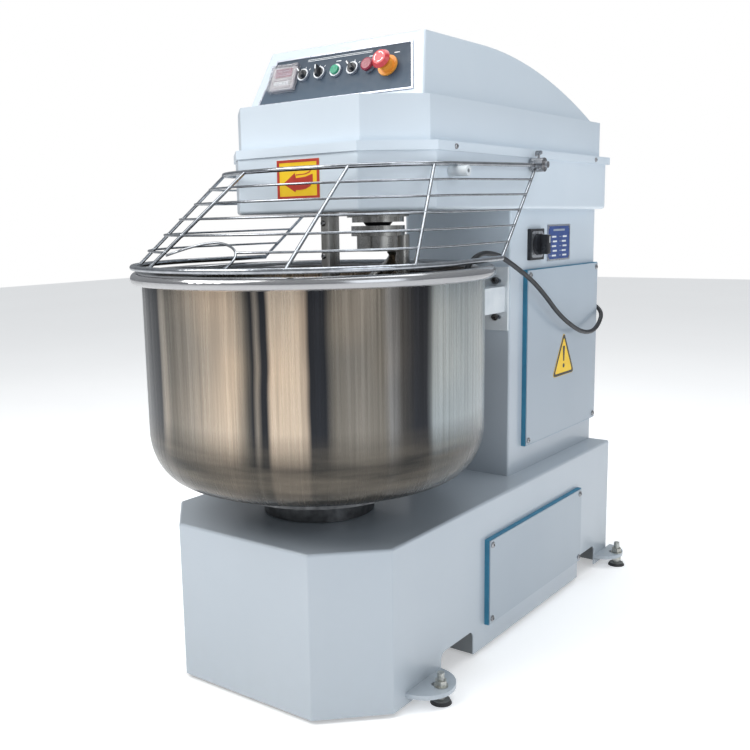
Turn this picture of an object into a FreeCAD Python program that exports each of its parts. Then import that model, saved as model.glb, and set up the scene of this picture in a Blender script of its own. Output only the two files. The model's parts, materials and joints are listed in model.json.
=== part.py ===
import FreeCAD, Part
import math
import os

# Spiral dough mixer, bowl of about 200 litres, in millimetres.
# While it is built, y = 0 is the base's front face, z = 0 the base's lower edge and x = 0 the
# middle plane. The front looks towards -Y. Each node is moved on export so that the origin lies
# on the floor under the middle of the machine's outline.

Vec = FreeCAD.Vector
X_AXIS = Vec(1, 0, 0)
Y_AXIS = Vec(0, 1, 0)
Z_AXIS = Vec(0, 0, 1)

# ---- driving dimensions -------------------------------------------------------------------
SHEET = 3.0
FOOT_LIFT = 10.0

BASE_HALF_W = 310.0
BASE_LENGTH = 1290.0
BASE_HEIGHT = 363.0
BASE_CHAMFER = 124.0
BASE_EDGE_R = 6.0

LUG_THICK = 10.0
LUG_Z = 18.0
FRONT_LUG_Y = 240.0
FRONT_LUG_R = 72.0
REAR_LUG_Y = 1258.0
REAR_LUG_R = 60.0
STUD_R = 8.0

COLUMN_HALF_W = 248.0
COLUMN_FRONT = 756.0
COLUMN_FRONT_LEFT = -58.0
COLUMN_SPLAY_Y = 1042.0

HEAD_HALF_W = 288.0
HEAD_FRONT = 220.0
HEAD_REAR = 1265.0
HEAD_CHAMFER = 120.0
HEAD_BOTTOM = 1046.0
HEAD_TOP = 1170.0

LIP_OUT = 4.0
LIP_TOP = 1190.0
LIP_REAR = 1280.0
HOOD_HALF_W = 273.0
HOOD_FRONT = 232.0
HOOD_CHAMFER = 106.0
HOOD_REAR = 1251.0
SHOULDER_Z = 1285.0
FACE_FOOT_HALF_W = 251.0
FACE_FOOT_Y = 347.5
FACE_TOP_HALF_W = 218.0
FACE_TOP_Y = 408.8
HOOD_TOP = 1429.6
HOOD_CURVE_Y = 660.0

BOWL_Y = 276.5
BOWL_R = 384.0
BOWL_WALL = 2.5
RIM_Z = 913.0
RIM_TUBE_R = 13.5
BOWL_CORNER_Z = 572.0
BOWL_CORNER_RX = 85.0
BOWL_CORNER_RZ = 115.0
BOWL_PLINTH_R = 205.0
BOWL_PLINTH_Z = 418.0
TURNTABLE_R = 130.0
BOWL_SHAFT_R = 30.0

SPINDLE_X = 40.0
SPINDLE_Y = 477.0
SPINDLE_R = 25.0
TOOL_ROD_R = 17.0
TOOL_R = 140.0
TOOL_BOTTOM = 492.0
POST_OFFSET = 58.0
POST_ANGLE = 38.0

BREAKER_X = 50.0
BREAKER_HALF_X = 11.0
BREAKER_HALF_Y = 20.0
BREAKER_BOTTOM = 478.0

PIVOT_Y = 780.0
PIVOT_Z = 1152.0
GUARD_TOP_HALF_W = 305.0
GUARD_TOP_ARC_Y = 403.5
GUARD_TOP_ARC_B = 253.5
GUARD_TOP_DROP = 0.024
GUARD_RING_R = 383.0
GUARD_RING_Y = 251.5
GUARD_RING_Z = 938.0
GUARD_END_X = 352.0
GUARD_END_Y = 510.0
RIB_ANGLES = (-18.0, -57.0, -108.0, -147.0)
WIRE_COUNT = 5
TOP_ROD_R = 5.0
RING_ROD_R = 6.0
RIB_R = 3.8
WIRE_R = 2.5

GAP = 0.3
RUN_FIT = 0.08

CORD_R = 6.0

PARTS = "parts"
OUTLINE_FRONT = GUARD_RING_Y - GUARD_RING_R - RING_ROD_R
OUTLINE_REAR = BASE_LENGTH + 66.0
Y_MID = 0.5 * (OUTLINE_FRONT + OUTLINE_REAR)


# ---- helpers ------------------------------------------------------------------------------
def save(name, *solids):
    """Write one node, moved so that the origin is on the floor under the outline's middle."""
    shape = solids[0] if len(solids) == 1 else Part.makeCompound(list(solids))
    shape = shape.copy()
    shape.translate(Vec(0, -Y_MID, FOOT_LIFT))
    shape.exportStep(f"{PARTS}/{name}.step")
    if not shape.isValid():
        print("not valid:", name)


def box(x0, x1, y0, y1, z0, z1):
    return Part.makeBox(x1 - x0, y1 - y0, z1 - z0, Vec(x0, y0, z0))


def rod(radius, start, end):
    start, end = Vec(*start), Vec(*end)
    return Part.makeCylinder(radius, (end - start).Length, start, end - start)


def cone(r0, r1, start, end):
    start, end = Vec(*start), Vec(*end)
    return Part.makeCone(r0, r1, (end - start).Length, start, end - start)


def ring(outer, inner, start, end):
    return rod(outer, start, end).cut(rod(inner, start, end))


def fuse(first, *others):
    shape = first.multiFuse(list(others)) if others else first
    return shape.removeSplitter()


def prism(outline, z0, z1):
    points = [Vec(x, y, z0) for x, y in outline]
    return Part.Face(Part.makePolygon(points + points[:1])).extrude(Vec(0, 0, z1 - z0))


def hexagon(across_flats, start, height, axis=Z_AXIS):
    """Hexagonal bar that starts at a point and runs along an axis."""
    radius = across_flats / math.sqrt(3)
    corners = [Vec(radius * math.cos(k * math.pi / 3), radius * math.sin(k * math.pi / 3), 0)
               for k in range(7)]
    solid = Part.Face(Part.makePolygon(corners)).extrude(Vec(0, 0, height))
    solid.Placement = FreeCAD.Placement(Vec(*start), FreeCAD.Rotation(Z_AXIS, axis))
    return solid


def nose_outline(half_w, front, chamfer, rear, inset=0.0):
    """Plan outline with its two front corners cut at 45 degrees, shrunk evenly by inset."""
    w = half_w - inset
    cut = chamfer - inset * (2 - math.sqrt(2))
    y0 = front + inset
    y1 = rear - inset
    return [(-w + cut, y0), (w - cut, y0), (w, y0 + cut), (w, y1), (-w, y1), (-w, y0 + cut)]


def edges_where(shape, test):
    return [edge for edge in shape.Edges if test(edge)]


def is_vertical(edge):
    a, b = edge.Vertexes[0].Point, edge.Vertexes[-1].Point
    return abs(a.x - b.x) < 0.1 and abs(a.y - b.y) < 0.1


def lies_at_z(edge, z):
    return all(abs(vertex.Point.z - z) < 0.1 for vertex in edge.Vertexes)


def swept(radius, path, start, direction):
    """Round bar of a radius along a wire that starts at a point in a direction."""
    circle = Part.Wire(Part.makeCircle(radius, start, direction))
    return path.makePipeShell([circle], True, True)


def screw(head_r, head_h, shank_r, length, at, out):
    """Button-head screw whose head sits on a face at a point, with out pointing away from it."""
    at, out = Vec(*at), Vec(*out)
    head = Part.makeCylinder(head_r, 0.45 * head_h, at, out)
    dome = Part.makeCone(head_r, 0.6 * head_r, 0.55 * head_h, at + out * (0.45 * head_h), out)
    shank = Part.makeCylinder(shank_r, length, at, out * -1)
    socket = hexagon(0.8 * head_r, at + out * (0.5 * head_h), head_h, out)
    return fuse(head, dome, shank).cut(socket)


def belt_outline(c0, r0, c1, r1, z):
    """Wire around two circles in a horizontal plane: two tangents and two arcs."""
    (x0, y0), (x1, y1) = c0, c1
    span = math.hypot(x1 - x0, y1 - y0)
    heading = math.atan2(y1 - y0, x1 - x0)
    spread = math.acos((r0 - r1) / span)

    def at(centre, radius, angle):
        return Vec(centre[0] + radius * math.cos(angle), centre[1] + radius * math.sin(angle), z)

    a0, b0 = at(c0, r0, heading + spread), at(c0, r0, heading - spread)
    a1, b1 = at(c1, r1, heading + spread), at(c1, r1, heading - spread)
    far0, far1 = at(c0, r0, heading + math.pi), at(c1, r1, heading)
    arc0 = Part.Arc(a0, far0, b0).toShape()
    arc1 = Part.Arc(b1, far1, a1).toShape()
    return Part.Wire([arc0, Part.makeLine(b0, b1), arc1, Part.makeLine(a1, a0)])


def belt(c0, r0, c1, r1, z0, z1, thick):
    outer = Part.Face(belt_outline(c0, r0 + thick, c1, r1 + thick, z0))
    inner = Part.Face(belt_outline(c0, r0, c1, r1, z0))
    return outer.cut(inner).extrude(Vec(0, 0, z1 - z0)).Solids[0]


# ---- base ---------------------------------------------------------------------------------
NOTCH_HEIGHT = 61.0
FRONT_NOTCH = (FRONT_LUG_Y + FRONT_LUG_R + 4.0, 463.0)
REAR_NOTCH = (1071.0, REAR_LUG_Y - REAR_LUG_R - 4.0)
LOW_COVER_Y = (517.0, 1060.0)
LOW_COVER_Z = (57.0, 271.0)
COVER_MARGIN = 32.0
SEAL_THICK = 11.5
COVER_THICK = 2.5
SCREW_INSET = 14.0
SHAFT_HOLE_R = 62.0


def base_shell():
    """Folded sheet housing, open below, with notches in its skirt and a hole for each cover."""
    outer = prism(nose_outline(BASE_HALF_W, 0, BASE_CHAMFER, BASE_LENGTH), 0, BASE_HEIGHT)
    outer = outer.makeFillet(BASE_EDGE_R, edges_where(
        outer, lambda edge: is_vertical(edge) or lies_at_z(edge, BASE_HEIGHT)))
    room = prism(nose_outline(BASE_HALF_W, 0, BASE_CHAMFER, BASE_LENGTH, SHEET),
                 -1, BASE_HEIGHT - SHEET)
    shell = outer.cut(room)
    cuts = [rod(SHAFT_HOLE_R, (0, BOWL_Y, BASE_HEIGHT - 20), (0, BOWL_Y, BASE_HEIGHT + 1)),
            rod(40, (120, 1080, BASE_HEIGHT - 20), (120, 1080, BASE_HEIGHT + 1))]
    wide = BASE_HALF_W + 5
    for y0, y1 in (FRONT_NOTCH, REAR_NOTCH):
        notch = box(-wide, wide, y0, y1, -5, NOTCH_HEIGHT)
        cuts.append(notch.makeFillet(18, edges_where(
            notch, lambda edge: lies_at_z(edge, NOTCH_HEIGHT)
            and abs(edge.Vertexes[0].Point.y - edge.Vertexes[-1].Point.y) < 0.1)))
    cuts.append(box(-wide, wide, LOW_COVER_Y[0] + COVER_MARGIN, LOW_COVER_Y[1] - COVER_MARGIN,
                    LOW_COVER_Z[0] + COVER_MARGIN, LOW_COVER_Z[1] - COVER_MARGIN))
    for side in (-1, 1):
        for y, z in cover_screw_places(LOW_COVER_Y, LOW_COVER_Z):
            cuts.append(rod(3.0, (side * (BASE_HALF_W - 6), y, z), (side * wide, y, z)))
    shell = shell.cut(Part.makeCompound(cuts))
    save("base_shell", shell)


def base_frame():
    """Flat bars across the base and the thick plate that carries the bowl's bearing housing."""
    half = BASE_HALF_W - SHEET - GAP
    bars = []
    for y in (FRONT_NOTCH[1] + 1, REAR_NOTCH[0] - 7):
        bars.append(box(-half, half, y, y + 6, 0, 90))
    for y in (60, BASE_LENGTH - 60):
        reach = half if y > BASE_CHAMFER else half - BASE_CHAMFER + y - 2
        bars.append(box(-reach, reach, y, y + 6, 0, 50))
    top = BASE_HEIGHT - SHEET
    plate = box(-170, 170, BOWL_Y - 150, BOWL_Y + 150, top - 12, top)
    plate = plate.cut(rod(SHAFT_HOLE_R, (0, BOWL_Y, top - 20), (0, BOWL_Y, top + 1)))
    save("base_frame", *bars, plate)


def lug_places():
    for side in (-1, 1):
        yield side, FRONT_LUG_Y, FRONT_LUG_R
        yield side, REAR_LUG_Y, REAR_LUG_R


STUD_REACH = 45.0


def base_lugs():
    """Half-round plates welded to the skirt, each with a slot for its levelling stud."""
    lugs = []
    for side, y, radius in lug_places():
        disc = rod(radius, (side * BASE_HALF_W, y, LUG_Z), (side * BASE_HALF_W, y, LUG_Z + LUG_THICK))
        x0, x1 = sorted((side * BASE_HALF_W, side * (BASE_HALF_W + radius + 1)))
        plate = disc.common(box(x0, x1, y - radius, y + radius, LUG_Z, LUG_Z + LUG_THICK))
        slot_r = STUD_R + 1
        inner, outer = side * (BASE_HALF_W + STUD_REACH - 14), side * (BASE_HALF_W + STUD_REACH + 5)
        slot = fuse(rod(slot_r, (inner, y, 0), (inner, y, 60)),
                    rod(slot_r, (outer, y, 0), (outer, y, 60)),
                    box(min(inner, outer), max(inner, outer), y - slot_r, y + slot_r, 0, 60))
        lugs.append(plate.cut(slot))
    save("base_lugs", *lugs)


NUT_H = 12.0
WASHER_H = 2.5


def levelling_feet():
    """Studs with round pads that stand on the floor."""
    feet = []
    for side, y, _ in lug_places():
        x = side * (BASE_HALF_W + STUD_REACH)
        pad = cone(24, 20, (x, y, -FOOT_LIFT), (x, y, -2))
        stud = rod(STUD_R, (x, y, -3), (x, y, 60))
        feet.append(fuse(pad, stud))
    save("levelling_feet", *feet)


def levelling_nuts():
    """A nut below and a washer and nut above each lug."""
    nuts = []
    for side, y, _ in lug_places():
        x = side * (BASE_HALF_W + STUD_REACH)
        above = LUG_Z + LUG_THICK
        hole = rod(STUD_R + RUN_FIT, (x, y, -5), (x, y, 80))
        nuts.append(hexagon(24, (x, y, LUG_Z - NUT_H), NUT_H).cut(hole))
        nuts.append(ring(16, STUD_R + RUN_FIT, (x, y, above), (x, y, above + WASHER_H)))
        nuts.append(hexagon(24, (x, y, above + WASHER_H), NUT_H).cut(hole))
    save("levelling_nuts", *nuts)


def cover_screw_places(y_range, z_range):
    for y in (y_range[0] + SCREW_INSET, y_range[1] - SCREW_INSET):
        for z in (z_range[0] + SCREW_INSET, z_range[1] - SCREW_INSET):
            yield y, z


def side_cover(side, face_x, y_range, z_range):
    """Gasket frame, flat cover and four screws of one access cover on a side wall."""
    (y0, y1), (z0, z1) = y_range, z_range
    places = list(cover_screw_places(y_range, z_range))
    holes = Part.makeCompound([rod(3.3, (side * (face_x - 1), y, z), (side * (face_x + 30), y, z))
                               for y, z in places])
    xs = sorted((side * face_x, side * (face_x + SEAL_THICK)))
    frame = box(xs[0], xs[1], y0, y1, z0, z1)
    inner = box(xs[0] - 1, xs[1] + 1, y0 + COVER_MARGIN, y1 - COVER_MARGIN,
                z0 + COVER_MARGIN, z1 - COVER_MARGIN)
    seal = frame.cut(inner).cut(holes)
    head_x = face_x + SEAL_THICK + COVER_THICK
    xs = sorted((side * (face_x + SEAL_THICK), side * head_x))
    cover = box(xs[0], xs[1], y0 + 2, y1 - 2, z0 + 2, z1 - 2).cut(holes)
    screws = [screw(7.5, 4, 3, SEAL_THICK + COVER_THICK + SHEET, (side * head_x, y, z), (side, 0, 0))
              for y, z in places]
    return seal, cover, screws


# ---- column -------------------------------------------------------------------------------
HIGH_COVER_Y = (828.0, 1286.0)
HIGH_COVER_Z = (430.0, 894.0)
REAR_COVER_X = (-215.0, 115.0)
REAR_COVER_Z = (430.0, 980.0)
INLET_X = 165.0
INLET_Y = BASE_LENGTH + 36.0
INLET_Z = 918.0


def column_outline(inset=0.0):
    w = COLUMN_HALF_W - inset
    splay = inset * 0.35
    return [(w, COLUMN_FRONT + inset), (COLUMN_FRONT_LEFT + splay, COLUMN_FRONT + inset),
            (-w, COLUMN_SPLAY_Y + splay), (-w, BASE_LENGTH - inset), (w, BASE_LENGTH - inset)]


def rear_screw_places():
    for x in (REAR_COVER_X[0] + 14, REAR_COVER_X[1] - 14):
        for z in (REAR_COVER_Z[0] + 14, 0.5 * sum(REAR_COVER_Z), REAR_COVER_Z[1] - 14):
            yield x, z


def column_shell():
    """Hollow column from the base's top to the head's underside, its left front wall splayed."""
    outer = prism(column_outline(), BASE_HEIGHT, HEAD_BOTTOM)
    outer = outer.makeFillet(BASE_EDGE_R, edges_where(outer, is_vertical))
    shell = outer.cut(prism(column_outline(SHEET), BASE_HEIGHT - 1, HEAD_BOTTOM + 1))
    wide = COLUMN_HALF_W + 5
    cuts = [box(COLUMN_HALF_W - 10, wide, HIGH_COVER_Y[0] + COVER_MARGIN,
                HIGH_COVER_Y[1] - COVER_MARGIN, HIGH_COVER_Z[0] + COVER_MARGIN,
                HIGH_COVER_Z[1] - COVER_MARGIN),
            box(REAR_COVER_X[0] + 30, REAR_COVER_X[1] - 30, BASE_LENGTH - 10, BASE_LENGTH + 5,
                REAR_COVER_Z[0] + 30, REAR_COVER_Z[1] - 30),
            rod(9, (INLET_X, BASE_LENGTH - 10, INLET_Z + 30), (INLET_X, BASE_LENGTH + 5, INLET_Z + 30))]
    for y, z in cover_screw_places(HIGH_COVER_Y, HIGH_COVER_Z):
        cuts.append(rod(3.0, (COLUMN_HALF_W - 6, y, z), (wide, y, z)))
    for x, z in rear_screw_places():
        cuts.append(rod(2.5, (x, BASE_LENGTH - 6, z), (x, BASE_LENGTH + 5, z)))
    for x, z in bracket_bolt_places():
        cuts.append(rod(5.0, (x, COLUMN_FRONT - 2, z), (x, COLUMN_FRONT + 8, z)))
    save("column_shell", shell.cut(Part.makeCompound(cuts)))


def rear_cover():
    """Plain rear access panel with ventilation slots, and its six screws."""
    y0, y1 = BASE_LENGTH, BASE_LENGTH + 2.5
    panel = box(REAR_COVER_X[0], REAR_COVER_X[1], y0, y1, *REAR_COVER_Z)
    cuts = [rod(2.8, (x, y0 - 1, z), (x, y1 + 1, z)) for x, z in rear_screw_places()]
    for row in range(8):
        z = REAR_COVER_Z[0] + 120 + row * 22
        for x in (-165, -35):
            cuts.append(box(x, x + 100, y0 - 1, y1 + 1, z, z + 7))
    save("rear_cover", panel.cut(Part.makeCompound(cuts)))
    return [screw(5.5, 3.2, 2.5, 5.5, (x, y1, z), (0, 1, 0)) for x, z in rear_screw_places()]


def covers():
    """All access covers with their seals, and every screw that holds a panel."""
    sets = [side_cover(1, BASE_HALF_W, LOW_COVER_Y, LOW_COVER_Z),
            side_cover(-1, BASE_HALF_W, LOW_COVER_Y, LOW_COVER_Z),
            side_cover(1, COLUMN_HALF_W, HIGH_COVER_Y, HIGH_COVER_Z)]
    save("cover_seals", *[seal for seal, _, _ in sets])
    save("side_covers", *[cover for _, cover, _ in sets])
    screws = [item for _, _, group in sets for item in group]
    save("panel_screws", *screws, *rear_cover(), *hood_screws())


# ---- bowl guide on the column's front -------------------------------------------------------
GUIDE_X = 212.0
GUIDE_Z = 825.0
GUIDE_PLATE_H = 160.0
GUIDE_ROLLER_R = 27.0
GUIDE_AXLE_R = 7.0
BRACKET_BOLT_Z = 46.0
GUIDE_ROLLER_Y = BOWL_Y + math.sqrt((BOWL_R + GUIDE_ROLLER_R + GAP) ** 2 - GUIDE_X ** 2)


def bracket_bolt_places():
    for dz in (-BRACKET_BOLT_Z, BRACKET_BOLT_Z):
        yield GUIDE_X, GUIDE_Z + dz


def bowl_guide():
    """Slotted plate with a forked arm that holds a roller against the bowl's wall."""
    y1 = COLUMN_FRONT
    plate = box(GUIDE_X - 33, GUIDE_X + 33, y1 - 8, y1,
                GUIDE_Z - 0.5 * GUIDE_PLATE_H, GUIDE_Z + 0.5 * GUIDE_PLATE_H)
    for x, z in bracket_bolt_places():
        slot = fuse(rod(6, (x - 9, y1 - 20, z), (x - 9, y1 + 1, z)),
                    rod(6, (x + 9, y1 - 20, z), (x + 9, y1 + 1, z)),
                    box(x - 9, x + 9, y1 - 20, y1 + 1, z - 6, z + 6))
        plate = plate.cut(slot)
    arm = box(GUIDE_X - 26, GUIDE_X + 26, GUIDE_ROLLER_Y - 4, y1 - 7, GUIDE_Z - 32, GUIDE_Z + 32)

    def upright(radius, half):
        return rod(radius, (GUIDE_X, GUIDE_ROLLER_Y, GUIDE_Z - half),
                   (GUIDE_X, GUIDE_ROLLER_Y, GUIDE_Z + half))

    bracket = fuse(plate, arm, upright(20, 32)).cut(upright(GUIDE_ROLLER_R + 3, 21))
    save("guide_bracket", bracket.cut(upright(GUIDE_AXLE_R, 40)))
    save("guide_roller", upright(GUIDE_ROLLER_R, 20.5).cut(upright(GUIDE_AXLE_R + RUN_FIT, 21)))
    bolts = [upright(GUIDE_AXLE_R, 34)]
    for x, z in bracket_bolt_places():
        head = hexagon(17, (x, y1 - 8, z), 7, Vec(0, -1, 0))
        bolts.append(fuse(head, rod(5.0, (x, y1 - 9, z), (x, y1 + SHEET, z))))
    return bolts


# ---- head ---------------------------------------------------------------------------------
HOUSING_R = 62.0
LIP_SCREW_Z = 0.5 * (HEAD_TOP + LIP_TOP)


def head_box():
    """Sheet box under the hood; its floor carries the spindle and joins the column."""
    outer = prism(nose_outline(HEAD_HALF_W, HEAD_FRONT, HEAD_CHAMFER, HEAD_REAR),
                  HEAD_BOTTOM, HEAD_TOP)
    outer = outer.makeFillet(9, edges_where(
        outer, lambda edge: is_vertical(edge) or lies_at_z(edge, HEAD_BOTTOM)))
    room = prism(nose_outline(HEAD_HALF_W, HEAD_FRONT, HEAD_CHAMFER, HEAD_REAR, SHEET),
                 HEAD_BOTTOM + SHEET, HEAD_TOP + 1)
    room = room.makeFillet(6, edges_where(
        room, lambda edge: is_vertical(edge) or lies_at_z(edge, HEAD_BOTTOM + SHEET)))
    shell = outer.cut(room)
    cuts = [rod(HOUSING_R - 10, (SPINDLE_X, SPINDLE_Y, HEAD_BOTTOM - 1),
                (SPINDLE_X, SPINDLE_Y, HEAD_BOTTOM + 20)),
            box(0, 180, COLUMN_FRONT + 60, BASE_LENGTH - 80, HEAD_BOTTOM - 1, HEAD_BOTTOM + 20),
            box(BREAKER_X - BREAKER_HALF_X, BREAKER_X + BREAKER_HALF_X, BOWL_Y - BREAKER_HALF_Y,
                BOWL_Y + BREAKER_HALF_Y, HEAD_BOTTOM - 1, HEAD_BOTTOM + 20)]
    for side in (-1, 1):
        cuts.append(rod(8, (side * (HEAD_HALF_W - 8), PIVOT_Y, PIVOT_Z),
                        (side * (HEAD_HALF_W + 3), PIVOT_Y, PIVOT_Z)))
        cuts.append(rod(5, (side * (HEAD_HALF_W - 8), STOP_Y, STOP_Z),
                        (side * (HEAD_HALF_W + 3), STOP_Y, STOP_Z)))
    save("head_box", shell.cut(Part.makeCompound(cuts)))


def hood_profile(inset):
    """Side profile of the hood's upper part: leaning face, flat top, long curve to the rear."""
    y_rear, z_foot = HOOD_REAR - inset, SHOULDER_Z - 1
    foot = Vec(0, FACE_FOOT_Y + inset, z_foot)
    brow = Vec(0, FACE_TOP_Y + inset, HOOD_TOP - inset)
    bend = Vec(0, HOOD_CURVE_Y, HOOD_TOP - inset)
    end = Vec(0, y_rear, z_foot)
    run, drop = end.y - bend.y, bend.z - end.z
    radius = (run * run + drop * drop) / (2 * drop)
    half = 0.5 * math.asin(run / radius)
    middle = Vec(0, bend.y + radius * math.sin(half), bend.z - radius * (1 - math.cos(half)))
    edges = [Part.makeLine(foot, brow), Part.makeLine(brow, bend),
             Part.Arc(bend, middle, end).toShape(), Part.makeLine(end, foot)]
    return Part.Face(Part.Wire(edges))


def hood_crown(inset):
    """Upper part of the hood: the side profile, its two sides leaning inwards."""
    wide = 2 * FACE_FOOT_HALF_W
    body = hood_profile(inset).extrude(Vec(wide, 0, 0))
    body.translate(Vec(-FACE_FOOT_HALF_W, 0, 0))
    lean = (FACE_FOOT_HALF_W - FACE_TOP_HALF_W) / (HOOD_TOP - SHOULDER_Z)
    low, high = SHOULDER_Z - 1, HOOD_TOP + 10
    w_low = FACE_FOOT_HALF_W - inset + lean
    w_high = w_low - lean * (high - low)
    section = [Vec(-w_low, 0, low), Vec(w_low, 0, low), Vec(w_high, 0, high), Vec(-w_high, 0, high)]
    wedge = Part.Face(Part.makePolygon(section + section[:1])).extrude(Vec(0, 2000, 0))
    return body.common(wedge)


def lip_screw_places():
    """Screws through the hood's lip: side, y."""
    for side in (-1, 1):
        for y in (412.0, 800.0, 1176.0):
            yield side, y


def head_hood():
    """Sheet hood: lip over the head box, upright skirt, flat shoulder and curved crown."""
    lip = prism(nose_outline(HEAD_HALF_W + LIP_OUT, HEAD_FRONT - LIP_OUT,
                             HEAD_CHAMFER + LIP_OUT * (2 - math.sqrt(2)), LIP_REAR),
                HEAD_TOP, LIP_TOP)
    skirt = prism(nose_outline(HOOD_HALF_W, HOOD_FRONT, HOOD_CHAMFER, HOOD_REAR),
                  HEAD_TOP, SHOULDER_Z)
    skirt = skirt.makeFillet(5, edges_where(skirt, is_vertical))
    crown = hood_crown(0)
    crown = crown.makeFillet(5, edges_where(crown, lambda edge: edge.BoundBox.ZMax > HOOD_TOP - 1))
    outer = fuse(lip, skirt, crown)
    lip_room = prism(nose_outline(HEAD_HALF_W - 20, HEAD_FRONT + 20, HEAD_CHAMFER, HEAD_REAR - 22),
                     HEAD_TOP - 1, LIP_TOP - SHEET)
    skirt_room = prism(nose_outline(HOOD_HALF_W, HOOD_FRONT, HOOD_CHAMFER, HOOD_REAR, SHEET),
                       HEAD_TOP - 1, SHOULDER_Z - SHEET)
    room = fuse(skirt_room, lip_room)
    shell = outer.cut(room).cut(hood_crown(SHEET + 1))
    holes = [rod(3, (side * (HEAD_HALF_W - 10), y, LIP_SCREW_Z), (side * (HEAD_HALF_W + 9), y, LIP_SCREW_Z))
             for side, y in lip_screw_places()]
    save("head_hood", shell.cut(Part.makeCompound(holes)))


def hood_screws():
    return [screw(6, 4, 3, 12, (side * (HEAD_HALF_W + LIP_OUT), y, LIP_SCREW_Z), (side, 0, 0))
            for side, y in lip_screw_places()]


# ---- controls on the hood's leaning face ----------------------------------------------------
FACE_LEAN = math.degrees(math.atan2(FACE_TOP_Y - FACE_FOOT_Y, HOOD_TOP - SHOULDER_Z))
FACE = FreeCAD.Placement(Vec(0, FACE_FOOT_Y, SHOULDER_Z), FreeCAD.Rotation(X_AXIS, 90 - FACE_LEAN))
PANEL_LOW, PANEL_HIGH = 17.0, 134.0
PANEL_LOW_HALF_W, PANEL_HIGH_HALF_W = 221.0, 192.0
PANEL_THICK = 1.5
FRAME_WIDTH = 4.0
ROW_H = 84.0
KNOB_X = (-96.0, -48.0, 46.0)
KNOB_TURN = (42.0, 15.0, 42.0)
START_X, STOP_X, ESTOP_X = -1.0, 91.0, 142.0
ESTOP_H = 79.0
TIMER_X, TIMER_H = -152.0, 79.0


def on_face(shape):
    """Move a shape drawn with +Y up the face and +Z out of it onto the hood's leaning face."""
    shape = shape.copy()
    shape.Placement = FACE.multiply(shape.Placement)
    return shape


def panel_prism(inset, z0, z1):
    slope = (PANEL_LOW_HALF_W - PANEL_HIGH_HALF_W) / (PANEL_HIGH - PANEL_LOW)
    low = PANEL_LOW_HALF_W - inset - slope * inset
    high = PANEL_HIGH_HALF_W - inset + slope * inset
    return prism([(-low, PANEL_LOW + inset), (low, PANEL_LOW + inset),
                  (high, PANEL_HIGH - inset), (-high, PANEL_HIGH - inset)], z0, z1)


def bezel(x, h, outer, inner, height):
    return ring(outer, inner, (x, h, PANEL_THICK), (x, h, PANEL_THICK + height))


def control_panel():
    """Dark control plate, with the bright frame around it and rings around its controls."""
    save("control_plate", on_face(panel_prism(FRAME_WIDTH, 0, PANEL_THICK)))
    frame = panel_prism(0, 0, PANEL_THICK + 1).cut(panel_prism(FRAME_WIDTH, -1, PANEL_THICK + 2))
    rings = [on_face(bezel(x, ROW_H, 15, 11.5, BEZEL_HEIGHT)) for x in KNOB_X + (START_X, STOP_X)]
    save("control_trim", on_face(frame), *rings)


def selector_knobs():
    """Three rotary selectors, each a round skirt with a straight grip across it."""
    for index, (x, turn) in enumerate(zip(KNOB_X, KNOB_TURN)):
        z0 = PANEL_THICK + GAP
        skirt = rod(11.5 - GAP, (x, ROW_H, z0), (x, ROW_H, z0 + 8))
        grip = box(x - 3.5, x + 3.5, ROW_H - 13, ROW_H + 13, z0 + 8 - 0.5, z0 + 20)
        grip = grip.makeFillet(2, edges_where(grip, lambda edge: lies_at_z(edge, z0 + 20)))
        grip.rotate(Vec(x, ROW_H, 0), Z_AXIS, turn)
        save(f"selector_knob_{index + 1}", on_face(fuse(skirt, grip)))


BUTTON_TRAVEL = 3.5
BEZEL_HEIGHT = 6.0
ESTOP_TRAVEL = 5.0


def push_buttons():
    """Flush start cap inside its ring, and a domed stop cap that covers its ring."""
    z0 = PANEL_THICK + GAP + BUTTON_TRAVEL
    start = rod(11.5 - GAP, (START_X, ROW_H, z0), (START_X, ROW_H, z0 + 8))
    start = start.makeFillet(2, edges_where(start, lambda edge: lies_at_z(edge, z0 + 8)))
    save("start_button", on_face(start))
    low, top = z0 + BEZEL_HEIGHT, z0 + BEZEL_HEIGHT + 6
    stop = fuse(rod(11.5 - GAP, (STOP_X, ROW_H, z0), (STOP_X, ROW_H, low + 1)),
                rod(15.5, (STOP_X, ROW_H, low), (STOP_X, ROW_H, top)))
    stop = stop.makeFillet(4, edges_where(stop, lambda edge: lies_at_z(edge, top)))
    save("stop_button", on_face(stop))


def emergency_stop():
    """Mushroom head on a stem that slides in a yellow collar."""
    z0 = PANEL_THICK
    collar = fuse(ring(24, 10, (ESTOP_X, ESTOP_H, z0), (ESTOP_X, ESTOP_H, z0 + 4)),
                  ring(16, 10, (ESTOP_X, ESTOP_H, z0), (ESTOP_X, ESTOP_H, z0 + 18)))
    save("emergency_stop_collar", on_face(collar))
    stem = rod(10 - GAP, (ESTOP_X, ESTOP_H, z0 + GAP + ESTOP_TRAVEL), (ESTOP_X, ESTOP_H, z0 + 30))
    under = cone(14, 22, (ESTOP_X, ESTOP_H, z0 + 18 + GAP + ESTOP_TRAVEL), (ESTOP_X, ESTOP_H, z0 + 30))
    cap = cone(22, 17, (ESTOP_X, ESTOP_H, z0 + 30), (ESTOP_X, ESTOP_H, z0 + 39))
    cap = fuse(stem, under, cap)
    top = z0 + 39
    save("emergency_stop_button", on_face(cap.makeFillet(3, edges_where(
        cap, lambda edge: lies_at_z(edge, top)))))


TIMER_HALF_W, TIMER_HALF_H = 36.0, 29.0
LID_HALF_W, LID_HALF_H, LID_DEPTH = 39.0, 34.0, 16.0


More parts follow.
